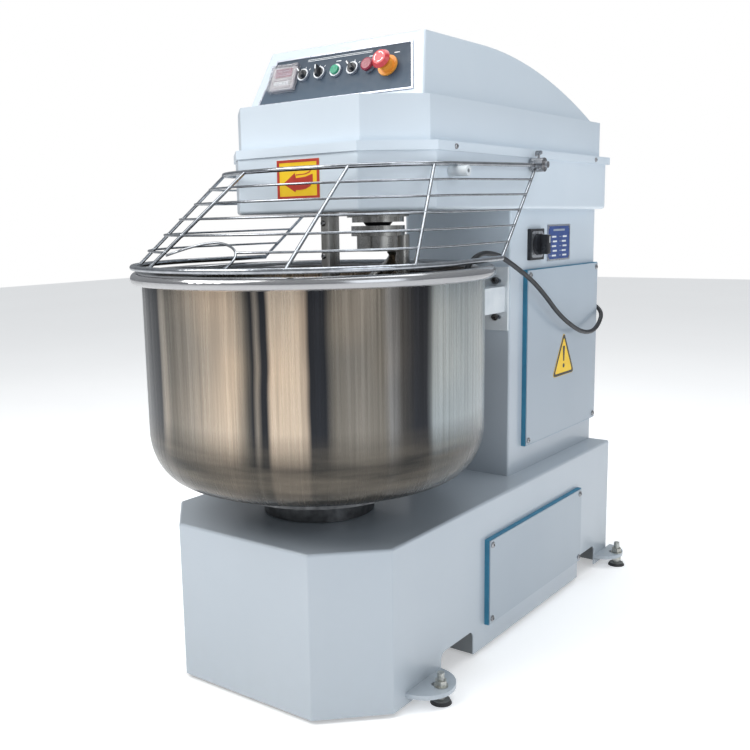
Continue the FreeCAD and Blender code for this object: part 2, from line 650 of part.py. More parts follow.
def timer():
    """Timer body with a clear dust lid hinged at its top edge on a pin."""
    x, h, z = TIMER_X, TIMER_H, PANEL_THICK
    body = box(x - TIMER_HALF_W, x + TIMER_HALF_W, h - TIMER_HALF_H, h + TIMER_HALF_H, z, z + 9)
    body = body.makeFillet(2, edges_where(body, lambda edge: lies_at_z(edge, z + 9)))
    hinge_h, hinge_z = h + LID_HALF_H + 3.0, z + 4.0
    hinge = rod(1.2, (x - 30, hinge_h, hinge_z), (x + 30, hinge_h, hinge_z))
    for x0 in (x - 30, x + 20):
        hinge = fuse(hinge, rod(2.8, (x0, hinge_h, hinge_z), (x0 + 10, hinge_h, hinge_z)),
                     box(x0, x0 + 10, hinge_h - 2.8, hinge_h + 2.8, z, hinge_z))
    save("timer_body", on_face(body), on_face(hinge))
    lid = box(x - LID_HALF_W, x + LID_HALF_W, h - LID_HALF_H, h + LID_HALF_H - GAP,
              z + GAP, z + LID_DEPTH)
    lid = lid.makeFillet(3, edges_where(lid, lambda edge: lies_at_z(edge, z + LID_DEPTH)))
    room = box(x - LID_HALF_W + 1.6, x + LID_HALF_W - 1.6, h - LID_HALF_H + 1.6,
               h + LID_HALF_H - 1.9, z - 1, z + LID_DEPTH - 1.6)
    knuckle = fuse(rod(2.6, (x - 19, hinge_h, hinge_z), (x + 19, hinge_h, hinge_z)),
                   box(x - 19, x + 19, h + LID_HALF_H - 1, hinge_h, hinge_z - 1, hinge_z + 1.4))
    bore = rod(1.2 + RUN_FIT, (x - 19.5, hinge_h, hinge_z), (x + 19.5, hinge_h, hinge_z))
    save("timer_lid", on_face(fuse(lid.cut(room), knuckle).cut(bore)))


# ---- switch and plates on the column's right side -------------------------------------------
SWITCH_Y, SWITCH_Z = 890.0, 957.0
SWITCH_HALF = 40.0
RATING_PLATE = (968.0, 1112.0, 910.0, 1006.0)
SIGN_Y, SIGN_FOOT_Z, SIGN_SIDE = 1056.0, 590.0, 142.0
ARROW_PLATE = (-51.0, 68.0, 1077.0, 1161.0)


def main_switch():
    """Square isolator base with a rotary handle."""
    x = COLUMN_HALF_W
    base = box(x, x + 9, SWITCH_Y - SWITCH_HALF, SWITCH_Y + SWITCH_HALF,
               SWITCH_Z - SWITCH_HALF, SWITCH_Z + SWITCH_HALF)
    base = base.makeFillet(3, edges_where(base, lambda edge: abs(edge.BoundBox.XLength - 9) < 0.1))
    save("main_switch_base", base)
    start = x + 9 + GAP
    dial = rod(27, (start, SWITCH_Y, SWITCH_Z), (start + 10, SWITCH_Y, SWITCH_Z))
    grip = box(start + 9, start + 34, SWITCH_Y - 9, SWITCH_Y + 9, SWITCH_Z - 25, SWITCH_Z + 25)
    grip = grip.makeFillet(4, edges_where(grip, lambda edge: edge.BoundBox.XMin > start + 10))
    save("main_switch_handle", fuse(dial, grip))


def plates():
    """Rating plate, triangular warning sign and square arrow plate, all thin and flat."""
    y0, y1, z0, z1 = RATING_PLATE
    save("rating_plate", box(COLUMN_HALF_W, COLUMN_HALF_W + 1, y0, y1, z0, z1))
    x = COLUMN_HALF_W + SEAL_THICK + COVER_THICK
    height = SIGN_SIDE * math.sqrt(3) / 2
    corners = [Vec(x, SIGN_Y - SIGN_SIDE / 2, SIGN_FOOT_Z), Vec(x, SIGN_Y + SIGN_SIDE / 2, SIGN_FOOT_Z),
               Vec(x, SIGN_Y, SIGN_FOOT_Z + height)]
    sign = Part.Face(Part.makePolygon(corners + corners[:1])).extrude(Vec(0.8, 0, 0))
    save("warning_sign", sign.makeFillet(8, edges_where(
        sign, lambda edge: abs(edge.BoundBox.XLength - 0.8) < 0.05)))
    x0, x1, z0, z1 = ARROW_PLATE
    save("arrow_plate", box(x0, x1, HEAD_FRONT - 0.8, HEAD_FRONT, z0, z1))


# ---- guard --------------------------------------------------------------------------------
HUB_R = 17.0
HUB_LENGTH = 32.0
HUB_START = HEAD_HALF_W + LIP_OUT + 1.0
PIN_R = 8.0
STOP_Y = 392.0
STOP_ROLLER_R = 11.0
ROD_UNDER = PIVOT_Z - GUARD_TOP_DROP * (PIVOT_Y - STOP_Y) - TOP_ROD_R
STOP_Z = ROD_UNDER - GAP - STOP_ROLLER_R


def guard_sizes(t):
    """Hoop at a share t of the way down: half width, arc centre y, arc depth, ends and tilt."""
    return {
        "half": GUARD_TOP_HALF_W + (GUARD_RING_R - GUARD_TOP_HALF_W) * t,
        "arc_y": GUARD_TOP_ARC_Y + (GUARD_RING_Y - GUARD_TOP_ARC_Y) * t,
        "depth": GUARD_TOP_ARC_B + (GUARD_RING_R - GUARD_TOP_ARC_B) * t,
        "end_x": GUARD_TOP_HALF_W + (GUARD_END_X - GUARD_TOP_HALF_W) * t,
        "end_y": PIVOT_Y + (GUARD_END_Y - PIVOT_Y) * t,
        "end_z": PIVOT_Z + (GUARD_RING_Z - PIVOT_Z) * t,
        "drop": GUARD_TOP_DROP * (1 - t),
    }


def guard_point(degrees, t):
    """Point of the guard's surface at an angle of its front arc and a share of its height."""
    size = guard_sizes(t)
    angle = math.radians(degrees)
    y = size["arc_y"] + size["depth"] * math.sin(angle)
    z = size["end_z"] - size["drop"] * (size["end_y"] - y)
    return Vec(size["half"] * math.cos(angle), y, z)


def hoop_path(t, start=-180.0, end=0.0):
    """Plan arc between two angles; at -180 and 0 a straight run back to the leg is added."""
    size = guard_sizes(t)
    centre = Vec(0, size["arc_y"], 0)
    if size["half"] >= size["depth"]:
        curve = Part.Ellipse(centre + Vec(size["half"], 0, 0), centre + Vec(0, size["depth"], 0), centre)
        shift = 0.0
    else:
        curve = Part.Ellipse(centre + Vec(0, size["depth"], 0), centre - Vec(size["half"], 0, 0), centre)
        shift = -90.0
    first = math.radians(start + 360 + shift)
    last = math.radians(end + 360 + shift)
    edges = [Part.Edge(curve, first, last)]
    flat_end = Vec(size["end_x"], size["end_y"], 0)
    if start == -180.0:
        edges.insert(0, Part.makeLine(Vec(-flat_end.x, flat_end.y, 0), edges[0].valueAt(first)))
    if end == 0.0:
        edges.append(Part.makeLine(edges[-1].valueAt(last), flat_end))
    path = Part.Wire(edges)
    path.translate(Vec(0, -size["end_y"], 0))
    path.rotate(Vec(0, 0, 0), X_AXIS, math.degrees(math.atan(size["drop"])))
    path.translate(Vec(0, size["end_y"], size["end_z"]))
    return path


def hoop(radius, t, start=-180.0, end=0.0):
    path = hoop_path(t, start, end)
    first = path.OrderedEdges[0]
    return swept(radius, path, first.valueAt(first.FirstParameter),
                 first.tangentAt(first.FirstParameter))


ARCH = ((-76.0, 1.0), (-76.0, 0.83), (-84.0, 0.745), (-95.0, 0.775), (-105.0, 0.86))


def guard():
    """Wire guard that swings about the two pins on the head's sides."""
    collar_core = rod(HUB_R - 2, (-400, PIVOT_Y, PIVOT_Z), (400, PIVOT_Y, PIVOT_Z))
    save("guard_top_rod", hoop(TOP_ROD_R, 0.0).cut(collar_core))
    save("guard_ring", hoop(RING_ROD_R, 1.0))
    shares = [(index + 1) / (WIRE_COUNT + 1) for index in range(WIRE_COUNT)]
    wires = [hoop(WIRE_R, t) for t in shares[:-1]]
    wires.append(hoop(WIRE_R, shares[-1], ARCH[0][0], 0.0))
    wires.append(hoop(WIRE_R, shares[-1], -180.0, RIB_ANGLES[2]))
    save("guard_wires", *wires)
    bars = [rod(RIB_R, guard_point(angle, 0.0), guard_point(angle, 1.0)) for angle in RIB_ANGLES]
    for side in (-1, 1):
        bars.append(rod(RIB_R, (side * GUARD_TOP_HALF_W, PIVOT_Y - HUB_R + 2, PIVOT_Z - HUB_R + 4),
                        (side * GUARD_END_X, GUARD_END_Y, GUARD_RING_Z)))
    curve = Part.BSplineCurve()
    curve.interpolate([guard_point(angle, t) for angle, t in ARCH])
    bars.append(swept(WIRE_R, Part.Wire(curve.toShape()), guard_point(*ARCH[0]),
                      curve.tangent(curve.FirstParameter)[0]))
    save("guard_ribs", *bars)


def guard_pivots():
    """Collars with thumb screws on the guard; pins and stop rollers on the head."""
    collars, pins, stops = [], [], []
    for side in (-1, 1):
        x0, x1 = side * HUB_START, side * (HUB_START + HUB_LENGTH)
        collars.append(ring(HUB_R, PIN_R + RUN_FIT, (x0, PIVOT_Y, PIVOT_Z), (x1, PIVOT_Y, PIVOT_Z)))
        pins.append(rod(PIN_R, (side * (HEAD_HALF_W - SHEET), PIVOT_Y, PIVOT_Z),
                        (side * (HUB_START + HUB_LENGTH + 9), PIVOT_Y, PIVOT_Z)))
        middle = 0.5 * (x0 + x1)
        crown = PIVOT_Z + HUB_R
        neck = rod(3, (middle, PIVOT_Y, crown - 1), (middle, PIVOT_Y, crown + 8))
        wing = box(middle - 9, middle + 9, PIVOT_Y - 1.5, PIVOT_Y + 1.5, crown + 7, crown + 17)
        wing = wing.makeFillet(4, edges_where(wing, lambda edge: abs(edge.BoundBox.YLength - 3) < 0.1))
        collars[-1] = fuse(collars[-1], neck, wing)
        start, end = side * (HEAD_HALF_W + 0.5), side * (HEAD_HALF_W + 46)
        stops.append(ring(STOP_ROLLER_R, 5, (start, STOP_Y, STOP_Z), (end, STOP_Y, STOP_Z)))
        pins.append(rod(5, (side * (HEAD_HALF_W - SHEET), STOP_Y, STOP_Z),
                        (side * (HEAD_HALF_W + 44), STOP_Y, STOP_Z)))
    save("guard_collars", *collars)
    save("guard_pins", *pins)
    save("guard_stops", *stops)


# ---- spiral tool and its drive --------------------------------------------------------------
HOUSING_BOTTOM = 1023.0
SEAL_BOTTOM = 1015.0
FLANGE_BOTTOM = 991.0
HUB_BOTTOM = 955.0
FLANGE_R = 64.0
TOOL_HUB_R = 51.0
PULLEY_Z = (1088.0, 1142.0)
SPINDLE_PULLEY_R = 190.0
MOTOR_PULLEY_R = 55.0
MOTOR_X, MOTOR_Y = 100.0, 1060.0
BELT_THICK = 8.0
BELT_COUNT = 3


def at_spindle(z):
    return (SPINDLE_X, SPINDLE_Y, z)


def tool_path_point(share):
    """Centre line of the spiral flight: from the hub's rear, round and outwards, to the floor."""
    angle = math.radians(62.0 + 336.0 * share)
    grow = min(1.0, share / 0.42)
    shrink = max(0.0, (share - 0.72) / 0.28)
    radius = 40.0 + (TOOL_R - 40.0) * math.sin(0.5 * math.pi * grow)
    radius -= (TOOL_R - POST_OFFSET) * (1 - math.cos(0.5 * math.pi * shrink))
    fall = 0.5 * (1 - math.cos(math.pi * min(1.0, share / 0.92)))
    z = HUB_BOTTOM + 4 - (HUB_BOTTOM + 4 - TOOL_BOTTOM) * (0.45 * min(1.0, share / 0.92) + 0.55 * fall)
    return Vec(SPINDLE_X + radius * math.cos(angle), SPINDLE_Y + radius * math.sin(angle), z)


def spiral_tool():
    """Hub with flange, an upright post on its edge and one turn of round bar to the post's foot."""
    flange = rod(FLANGE_R, at_spindle(FLANGE_BOTTOM), at_spindle(SEAL_BOTTOM - GAP))
    hub = rod(TOOL_HUB_R, at_spindle(HUB_BOTTOM), at_spindle(FLANGE_BOTTOM + 1))
    turn = math.radians(POST_ANGLE)
    post_at = (SPINDLE_X + POST_OFFSET * math.cos(turn), SPINDLE_Y + POST_OFFSET * math.sin(turn))
    post = rod(TOOL_ROD_R, (*post_at, TOOL_BOTTOM), (*post_at, FLANGE_BOTTOM + 2))
    points = [tool_path_point(k / 14) for k in range(15)]
    curve = Part.BSplineCurve()
    curve.interpolate(points)
    flight = swept(TOOL_ROD_R, Part.Wire(curve.toShape()), points[0],
                   curve.tangent(curve.FirstParameter)[0])
    foot = Part.makeSphere(TOOL_ROD_R, Vec(*post_at, TOOL_BOTTOM))
    save("spiral_tool", fuse(flange, hub, post, flight, foot))


def spindle():
    """Shaft, housing and seal that carry the spiral; returns the two bearings."""
    top = PULLEY_Z[1] + 14
    save("spindle_shaft", rod(SPINDLE_R, at_spindle(SEAL_BOTTOM - GAP), at_spindle(top)))
    flange_top = HEAD_BOTTOM
    tube_top = PULLEY_Z[0] - 6
    bore = 40.0
    housing = fuse(rod(HOUSING_R + 12, at_spindle(HOUSING_BOTTOM + 12), at_spindle(flange_top)),
                   rod(HOUSING_R, at_spindle(HOUSING_BOTTOM), at_spindle(flange_top)),
                   rod(HOUSING_R - 10, at_spindle(flange_top), at_spindle(tube_top)))
    save("spindle_housing", housing.cut(rod(bore, at_spindle(1000), at_spindle(1200))))
    bearings = []
    for z0 in (HOUSING_BOTTOM + 2, tube_top - 20):
        bearings.append(ring(bore, SPINDLE_R + RUN_FIT, at_spindle(z0), at_spindle(z0 + 18)))
    seal = cone(29, 35, at_spindle(SEAL_BOTTOM), at_spindle(HOUSING_BOTTOM))
    save("spindle_seal", seal.cut(rod(SPINDLE_R + 0.1, at_spindle(1000), at_spindle(1100))))
    return bearings


def grooved_pulley(radius, bore, x, y, z_range):
    """Pulley with one V groove for each belt."""
    z0, z1 = z_range
    wheel = ring(radius, bore, (x, y, z0), (x, y, z1))
    pitch = (z1 - z0) / BELT_COUNT
    for index in range(BELT_COUNT):
        middle = z0 + pitch * (index + 0.5)
        groove = [Vec(radius - 9, 0, middle - 3), Vec(radius + 1, 0, middle - 7),
                  Vec(radius + 1, 0, middle + 7), Vec(radius - 9, 0, middle + 3)]
        cut = Part.Face(Part.makePolygon(groove + groove[:1])).revolve(Vec(0, 0, 0), Z_AXIS, 360)
        cut.translate(Vec(x, y, 0))
        wheel = wheel.cut(cut)
    return wheel


def belt_set(c0, r0, c1, r1, z_range):
    pitch = (z_range[1] - z_range[0]) / BELT_COUNT
    middles = [z_range[0] + pitch * (index + 0.5) for index in range(BELT_COUNT)]
    return [belt(c0, r0 + 0.5, c1, r1 + 0.5, z - 6, z + 6, BELT_THICK) for z in middles]


def spiral_drive():
    """Motor in the column and pulleys in the head; returns the belts."""
    save("spindle_pulley", grooved_pulley(SPINDLE_PULLEY_R, SPINDLE_R, SPINDLE_X, SPINDLE_Y, PULLEY_Z))
    pulley = grooved_pulley(MOTOR_PULLEY_R, 13, MOTOR_X, MOTOR_Y, PULLEY_Z)
    shaft = rod(14, (MOTOR_X, MOTOR_Y, 905), (MOTOR_X, MOTOR_Y, PULLEY_Z[1] + 6))
    save("spiral_motor_pulley", fuse(pulley, shaft))
    body = rod(118, (MOTOR_X, MOTOR_Y, 690), (MOTOR_X, MOTOR_Y, 990))
    plate = box(MOTOR_X - 125, MOTOR_X + 125, MOTOR_Y - 125, MOTOR_Y + 125, 990, 1004)
    terminal = box(MOTOR_X - 230, MOTOR_X - 110, MOTOR_Y - 50, MOTOR_Y + 50, 780, 880)
    save("spiral_motor", fuse(body, plate, terminal).cut(
        rod(14 + RUN_FIT, (MOTOR_X, MOTOR_Y, 900), (MOTOR_X, MOTOR_Y, 1010))))
    half = COLUMN_HALF_W - SHEET
    shelf = box(-half, half, MOTOR_Y - 15, BASE_LENGTH - SHEET, 1004, 1012)
    shelf = fuse(shelf, box(-120, half, MOTOR_Y - 140, MOTOR_Y - 14, 1004, 1012))
    shelf = shelf.cut(rod(40, (MOTOR_X, MOTOR_Y, 1000), (MOTOR_X, MOTOR_Y, 1020)))
    save("motor_shelf", shelf.common(prism(column_outline(SHEET + GAP), 1000, 1020)))
    return belt_set((SPINDLE_X, SPINDLE_Y), SPINDLE_PULLEY_R, (MOTOR_X, MOTOR_Y), MOTOR_PULLEY_R, PULLEY_Z)


def breaker_bar():
    """Flat bar that hangs from the head beside the spiral, with its two clamping bolts."""
    x0, x1 = BREAKER_X - BREAKER_HALF_X, BREAKER_X + BREAKER_HALF_X
    y0, y1 = BOWL_Y - BREAKER_HALF_Y, BOWL_Y + BREAKER_HALF_Y
    bar = box(x0, x1, y0, y1, BREAKER_BOTTOM, HEAD_BOTTOM + 30)
    bar = bar.makeFillet(2, edges_where(bar, is_vertical))
    bolts = []
    for z in (HEAD_BOTTOM - 23, HEAD_BOTTOM - 95):
        hole = rod(4, (BREAKER_X - 4, y0 - 1, z), (BREAKER_X - 4, y0 + 16, z))
        bar = bar.cut(hole)
        bolts.append(screw(6, 4, 4, 14, (BREAKER_X - 4, y0, z), (0, -1, 0)))
    save("breaker_bar", bar)
    return bolts


# ---- bowl and its drive ---------------------------------------------------------------------
BOWL_PULLEY_Z = (150.0, 204.0)
BOWL_PULLEY_R = 170.0
BOWL_MOTOR_Y = 800.0
BOWL_MOTOR_PULLEY_R = 45.0


def at_bowl(z):
    return (0, BOWL_Y, z)


def bowl_outline(offset):
    """Half section of the bowl's wall, from the axis out and up to the rim."""
    flat_z = BOWL_CORNER_Z - BOWL_CORNER_RZ
    wall_r = BOWL_R - offset
    rx, rz = BOWL_CORNER_RX - offset, BOWL_CORNER_RZ - offset
    flat_r = wall_r - rx
    low = flat_z + offset
    centre = Vec(flat_r, 0, BOWL_CORNER_Z)
    curve = Part.Ellipse(centre + Vec(0, 0, -rz), centre + Vec(rx, 0, 0), centre)
    corner = Part.Edge(curve, 0, 0.5 * math.pi)
    return low, flat_r, wall_r, corner


def bowl():
    """Steel bowl with rounded lower corner and a rolled rim, on a stepped plinth."""
    low_out, flat_out, wall_out, corner_out = bowl_outline(0)
    low_in, flat_in, wall_in, corner_in = bowl_outline(BOWL_WALL)
    edges = [Part.makeLine(Vec(0, 0, low_out), Vec(flat_out, 0, low_out)), corner_out,
             Part.makeLine(Vec(wall_out, 0, BOWL_CORNER_Z), Vec(wall_out, 0, RIM_Z)),
             Part.makeLine(Vec(wall_out, 0, RIM_Z), Vec(wall_in, 0, RIM_Z)),
             Part.makeLine(Vec(wall_in, 0, RIM_Z), Vec(wall_in, 0, BOWL_CORNER_Z)), corner_in,
             Part.makeLine(Vec(flat_in, 0, low_in), Vec(0, 0, low_in)),
             Part.makeLine(Vec(0, 0, low_in), Vec(0, 0, low_out))]
    section = Part.Face(Part.Wire(Part.__sortEdges__(edges)))
    body = section.revolve(Vec(0, 0, 0), Z_AXIS, 360)
    rim = Part.makeTorus(BOWL_R - BOWL_WALL + RIM_TUBE_R, RIM_TUBE_R, Vec(0, 0, RIM_Z))
    body = Part.makeSolid(body.Shells[0])
    body = fuse(body, rim)
    body.translate(Vec(0, BOWL_Y, 0))
    save("bowl", body)
    plinth = fuse(cone(BOWL_PLINTH_R, 290, at_bowl(BOWL_PLINTH_Z + 14), at_bowl(low_out)),
                  rod(BOWL_PLINTH_R, at_bowl(BOWL_PLINTH_Z), at_bowl(BOWL_PLINTH_Z + 14)))
    turntable = fuse(plinth, rod(TURNTABLE_R, at_bowl(BASE_HEIGHT + 2), at_bowl(BOWL_PLINTH_Z)),
                     rod(60, at_bowl(BOWL_PLINTH_Z - 1), at_bowl(low_out)))
    save("turntable", turntable)
    save("bowl_shaft", rod(BOWL_SHAFT_R, at_bowl(BOWL_PULLEY_Z[0] - 12), at_bowl(BASE_HEIGHT + 2)))


def bowl_drive():
    """Bearing housing under the base's top, pulleys and motor; returns the bearings and belts."""
    top = BASE_HEIGHT - SHEET - 12
    housing = fuse(rod(95, at_bowl(top - 14), at_bowl(top)), rod(58, at_bowl(222), at_bowl(top)))
    save("bowl_bearing_housing", housing.cut(rod(45, at_bowl(200), at_bowl(400))))
    bearings = [ring(45, BOWL_SHAFT_R + RUN_FIT, at_bowl(z0), at_bowl(z0 + 20)) for z0 in (224, top - 22)]
    save("bowl_pulley", grooved_pulley(BOWL_PULLEY_R, BOWL_SHAFT_R, 0, BOWL_Y, BOWL_PULLEY_Z))
    pulley = grooved_pulley(BOWL_MOTOR_PULLEY_R, 10, 0, BOWL_MOTOR_Y, BOWL_PULLEY_Z)
    shaft = rod(11, (0, BOWL_MOTOR_Y, BOWL_PULLEY_Z[0] - 6), (0, BOWL_MOTOR_Y, 260))
    save("bowl_motor_pulley", fuse(pulley, shaft))
    body = rod(85, (0, BOWL_MOTOR_Y, 222), (0, BOWL_MOTOR_Y, 352))
    plate = box(-110, 110, BOWL_MOTOR_Y - 100, BOWL_MOTOR_Y + 100, 352, BASE_HEIGHT - SHEET)
    save("bowl_motor", fuse(body, plate).cut(
        rod(11 + RUN_FIT, (0, BOWL_MOTOR_Y, 200), (0, BOWL_MOTOR_Y, 262))))
    belts = belt_set((0, BOWL_Y), BOWL_PULLEY_R, (0, BOWL_MOTOR_Y), BOWL_MOTOR_PULLEY_R, BOWL_PULLEY_Z)
    return bearings, belts


# ---- power cord -----------------------------------------------------------------------------
# Centre line from the inlet's gland behind the column, round its rear right edge, along its side,
# over the bowl's rim and down inside the bowl to the coil on its floor.
CORD_ROUTE = (
    (165, 1326, 900), (167, 1328, 858), (184, 1332, 808), (226, 1323, 774), (274, 1298, 748),
    (288, 1244, 719), (292, 1185, 700), (293, 1110, 706), (291, 1030, 735), (289, 950, 775),
    (290, 870, 827), (291, 790, 871), (294, 705, 904), (291, 640, 931), (288, 592, 945),
    (283, 532, 948), (274, 488, 918), (267, 466, 862), (264, 458, 786), (256, 454, 700),
    (257, 446, 622), (253, 428, 552), (245, 390, 494), (234, 330, 468), (229, 262, 466),
    (227, 208, 466), (222, 172, 466))
COIL_AT = (150.0, 140.0)
COIL_R = (50.0, 80.0)
COIL_Z = (460.0, 486.0)
PLUG_R = 27.0
PLUG_Y = COIL_AT[1] - 70.0
PLUG_Z = 487.0


def rounded_route(points):
    """Straight runs joined by tangent arcs, each as large as its two runs allow."""
    points = [Vec(*point) for point in points]
    edges, radii, last = [], [], points[0]
    for before, corner, after in zip(points, points[1:], points[2:]):
        into, out = (corner - before), (after - corner)
        reach = 0.45 * min(into.Length, out.Length)
        half = 0.5 * into.getAngle(out)
        radius = reach / math.tan(half)
        into.normalize()
        out.normalize()
        start, end = corner - into * reach, corner + out * reach
        inward = (out - into).normalize()
        middle = corner + inward * (radius / math.cos(half) - radius)
        edges.append(Part.makeLine(last, start))
        edges.append(Part.Arc(start, middle, end).toShape())
        radii.append(radius)
        last = end
    edges.append(Part.makeLine(last, points[-1]))
    return Part.Wire(edges), radii


def power_cord():
    """Cord from the inlet to the coil, the coil's outer shape and the plug on the cord's end."""
    path, radii = rounded_route(CORD_ROUTE)
    start = Vec(*CORD_ROUTE[0])
    tube = swept(CORD_R, path, start, Vec(*CORD_ROUTE[1]) - start)
    print("cord radii", [round(radius) for radius in radii])
    print("cord length", round(path.Length), "volume ratio",
          round(tube.Volume / (math.pi * CORD_R ** 2 * path.Length), 4))
    save("power_cord", tube)
    coil = ring(COIL_R[1], COIL_R[0], (*COIL_AT, COIL_Z[0]), (*COIL_AT, COIL_Z[1]))
    save("cord_coil", coil)
    tail, collar, nose = 104.0, 62.0, -48.0
    body = fuse(cone(CORD_R + 1, 11, (tail, PLUG_Y, PLUG_Z), (collar, PLUG_Y, PLUG_Z)),
                cone(17, 22, (collar, PLUG_Y, PLUG_Z), (22, PLUG_Y, PLUG_Z)),
                rod(PLUG_R, (22, PLUG_Y, PLUG_Z), (nose, PLUG_Y, PLUG_Z)))
    well = ring(PLUG_R - 3, 17, (nose + 30, PLUG_Y, PLUG_Z), (nose - 1, PLUG_Y, PLUG_Z))
    body = body.cut(well)
    save("cord_plug", body)


def cord_inlet():
    """Small terminal box on the column's rear wall, with a gland that points down."""
    y0 = BASE_LENGTH
    case = box(INLET_X - 34, INLET_X + 34, y0, y0 + 66, INLET_Z, INLET_Z + 80)
    case = case.makeFillet(4, edges_where(case, lambda edge: edge.BoundBox.YMin > y0 + 1))
    nut = hexagon(26, (INLET_X, INLET_Y, INLET_Z - 10), 11)
    gland = cone(8, 11, (INLET_X, INLET_Y, INLET_Z - 18), (INLET_X, INLET_Y, INLET_Z - 9))
    save("cord_inlet", fuse(case, nut, gland))


# ---- build ----------------------------------------------------------------------------------
os.makedirs(PARTS, exist_ok=True)
base_shell()
base_frame()
base_lugs()
levelling_feet()
levelling_nuts()
column_shell()
covers()
head_box()
head_hood()
control_panel()
selector_knobs()
push_buttons()
emergency_stop()
timer()
main_switch()
plates()
guard()
guard_pivots()
spiral_tool()
spindle_rings = spindle()
spiral_belts = spiral_drive()
save("bracket_bolts", *bowl_guide(), *breaker_bar())
bowl()
bowl_rings, bowl_belts = bowl_drive()
save("shaft_bearings", *spindle_rings, *bowl_rings)
save("drive_belts", *spiral_belts, *bowl_belts)
cord_inlet()
power_cord()
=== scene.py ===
"""Spiral dough mixer: visible pieces, finishes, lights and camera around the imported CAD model."""
import json
import math
import random

import bmesh
import bpy
from mathutils import Matrix, Vector


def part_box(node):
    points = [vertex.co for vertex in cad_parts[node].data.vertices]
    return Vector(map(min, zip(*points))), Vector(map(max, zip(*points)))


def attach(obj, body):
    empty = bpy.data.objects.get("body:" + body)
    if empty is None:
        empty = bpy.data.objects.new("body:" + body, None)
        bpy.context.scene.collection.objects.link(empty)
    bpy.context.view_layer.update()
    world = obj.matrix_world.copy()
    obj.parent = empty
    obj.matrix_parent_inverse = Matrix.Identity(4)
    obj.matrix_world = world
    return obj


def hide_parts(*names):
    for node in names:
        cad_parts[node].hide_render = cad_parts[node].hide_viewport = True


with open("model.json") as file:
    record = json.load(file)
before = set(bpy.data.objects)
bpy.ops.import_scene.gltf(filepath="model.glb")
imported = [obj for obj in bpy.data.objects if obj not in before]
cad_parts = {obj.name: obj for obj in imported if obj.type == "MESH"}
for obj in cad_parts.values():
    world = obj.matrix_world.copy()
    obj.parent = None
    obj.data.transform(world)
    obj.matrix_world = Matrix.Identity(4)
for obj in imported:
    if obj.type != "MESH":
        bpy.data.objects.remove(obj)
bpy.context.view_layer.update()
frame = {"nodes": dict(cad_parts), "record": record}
MM = 0.001
TAU = 2 * math.pi
BASE_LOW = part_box("base_shell")[0]


def at(x, y, z):
    """Point from the base's front lower edge, in mm, as a point of the row frame in metres."""
    return Vector((x * MM, y * MM + BASE_LOW.y, z * MM + BASE_LOW.z))


# ---- camera ---------------------------------------------------------------------------------
CAMERA_AZIMUTH, CAMERA_ELEVATION, CAMERA_ROLL = math.radians(37.8), math.radians(9.86), -0.0221
CAMERA_PLACE = (1.3476, -2.0155, 1.0338)
SENSOR_WIDTH, FOCAL_LENGTH = 36, 45.33
CAMERA_SHIFT = (0.0588, 0.0160)


def make_camera():
    azimuth, elevation, roll = CAMERA_AZIMUTH, CAMERA_ELEVATION, CAMERA_ROLL
    back = Vector((math.sin(azimuth) * math.cos(elevation),
                   -math.cos(azimuth) * math.cos(elevation), math.sin(elevation)))
    right = Vector((math.cos(azimuth), math.sin(azimuth), 0))
    up = back.cross(right)
    side = right * math.cos(roll) + up * math.sin(roll)
    top = up * math.cos(roll) - right * math.sin(roll)
    turn = Matrix((side, top, back)).transposed()
    data = bpy.data.cameras.new("camera")
    data.sensor_width = SENSOR_WIDTH
    data.lens = FOCAL_LENGTH
    data.shift_x, data.shift_y = CAMERA_SHIFT
    camera = bpy.data.objects.new("camera", data)
    camera.matrix_world = Matrix.Translation(CAMERA_PLACE) @ turn.to_4x4()
    bpy.context.scene.collection.objects.link(camera)
    bpy.context.scene.camera = camera


make_camera()


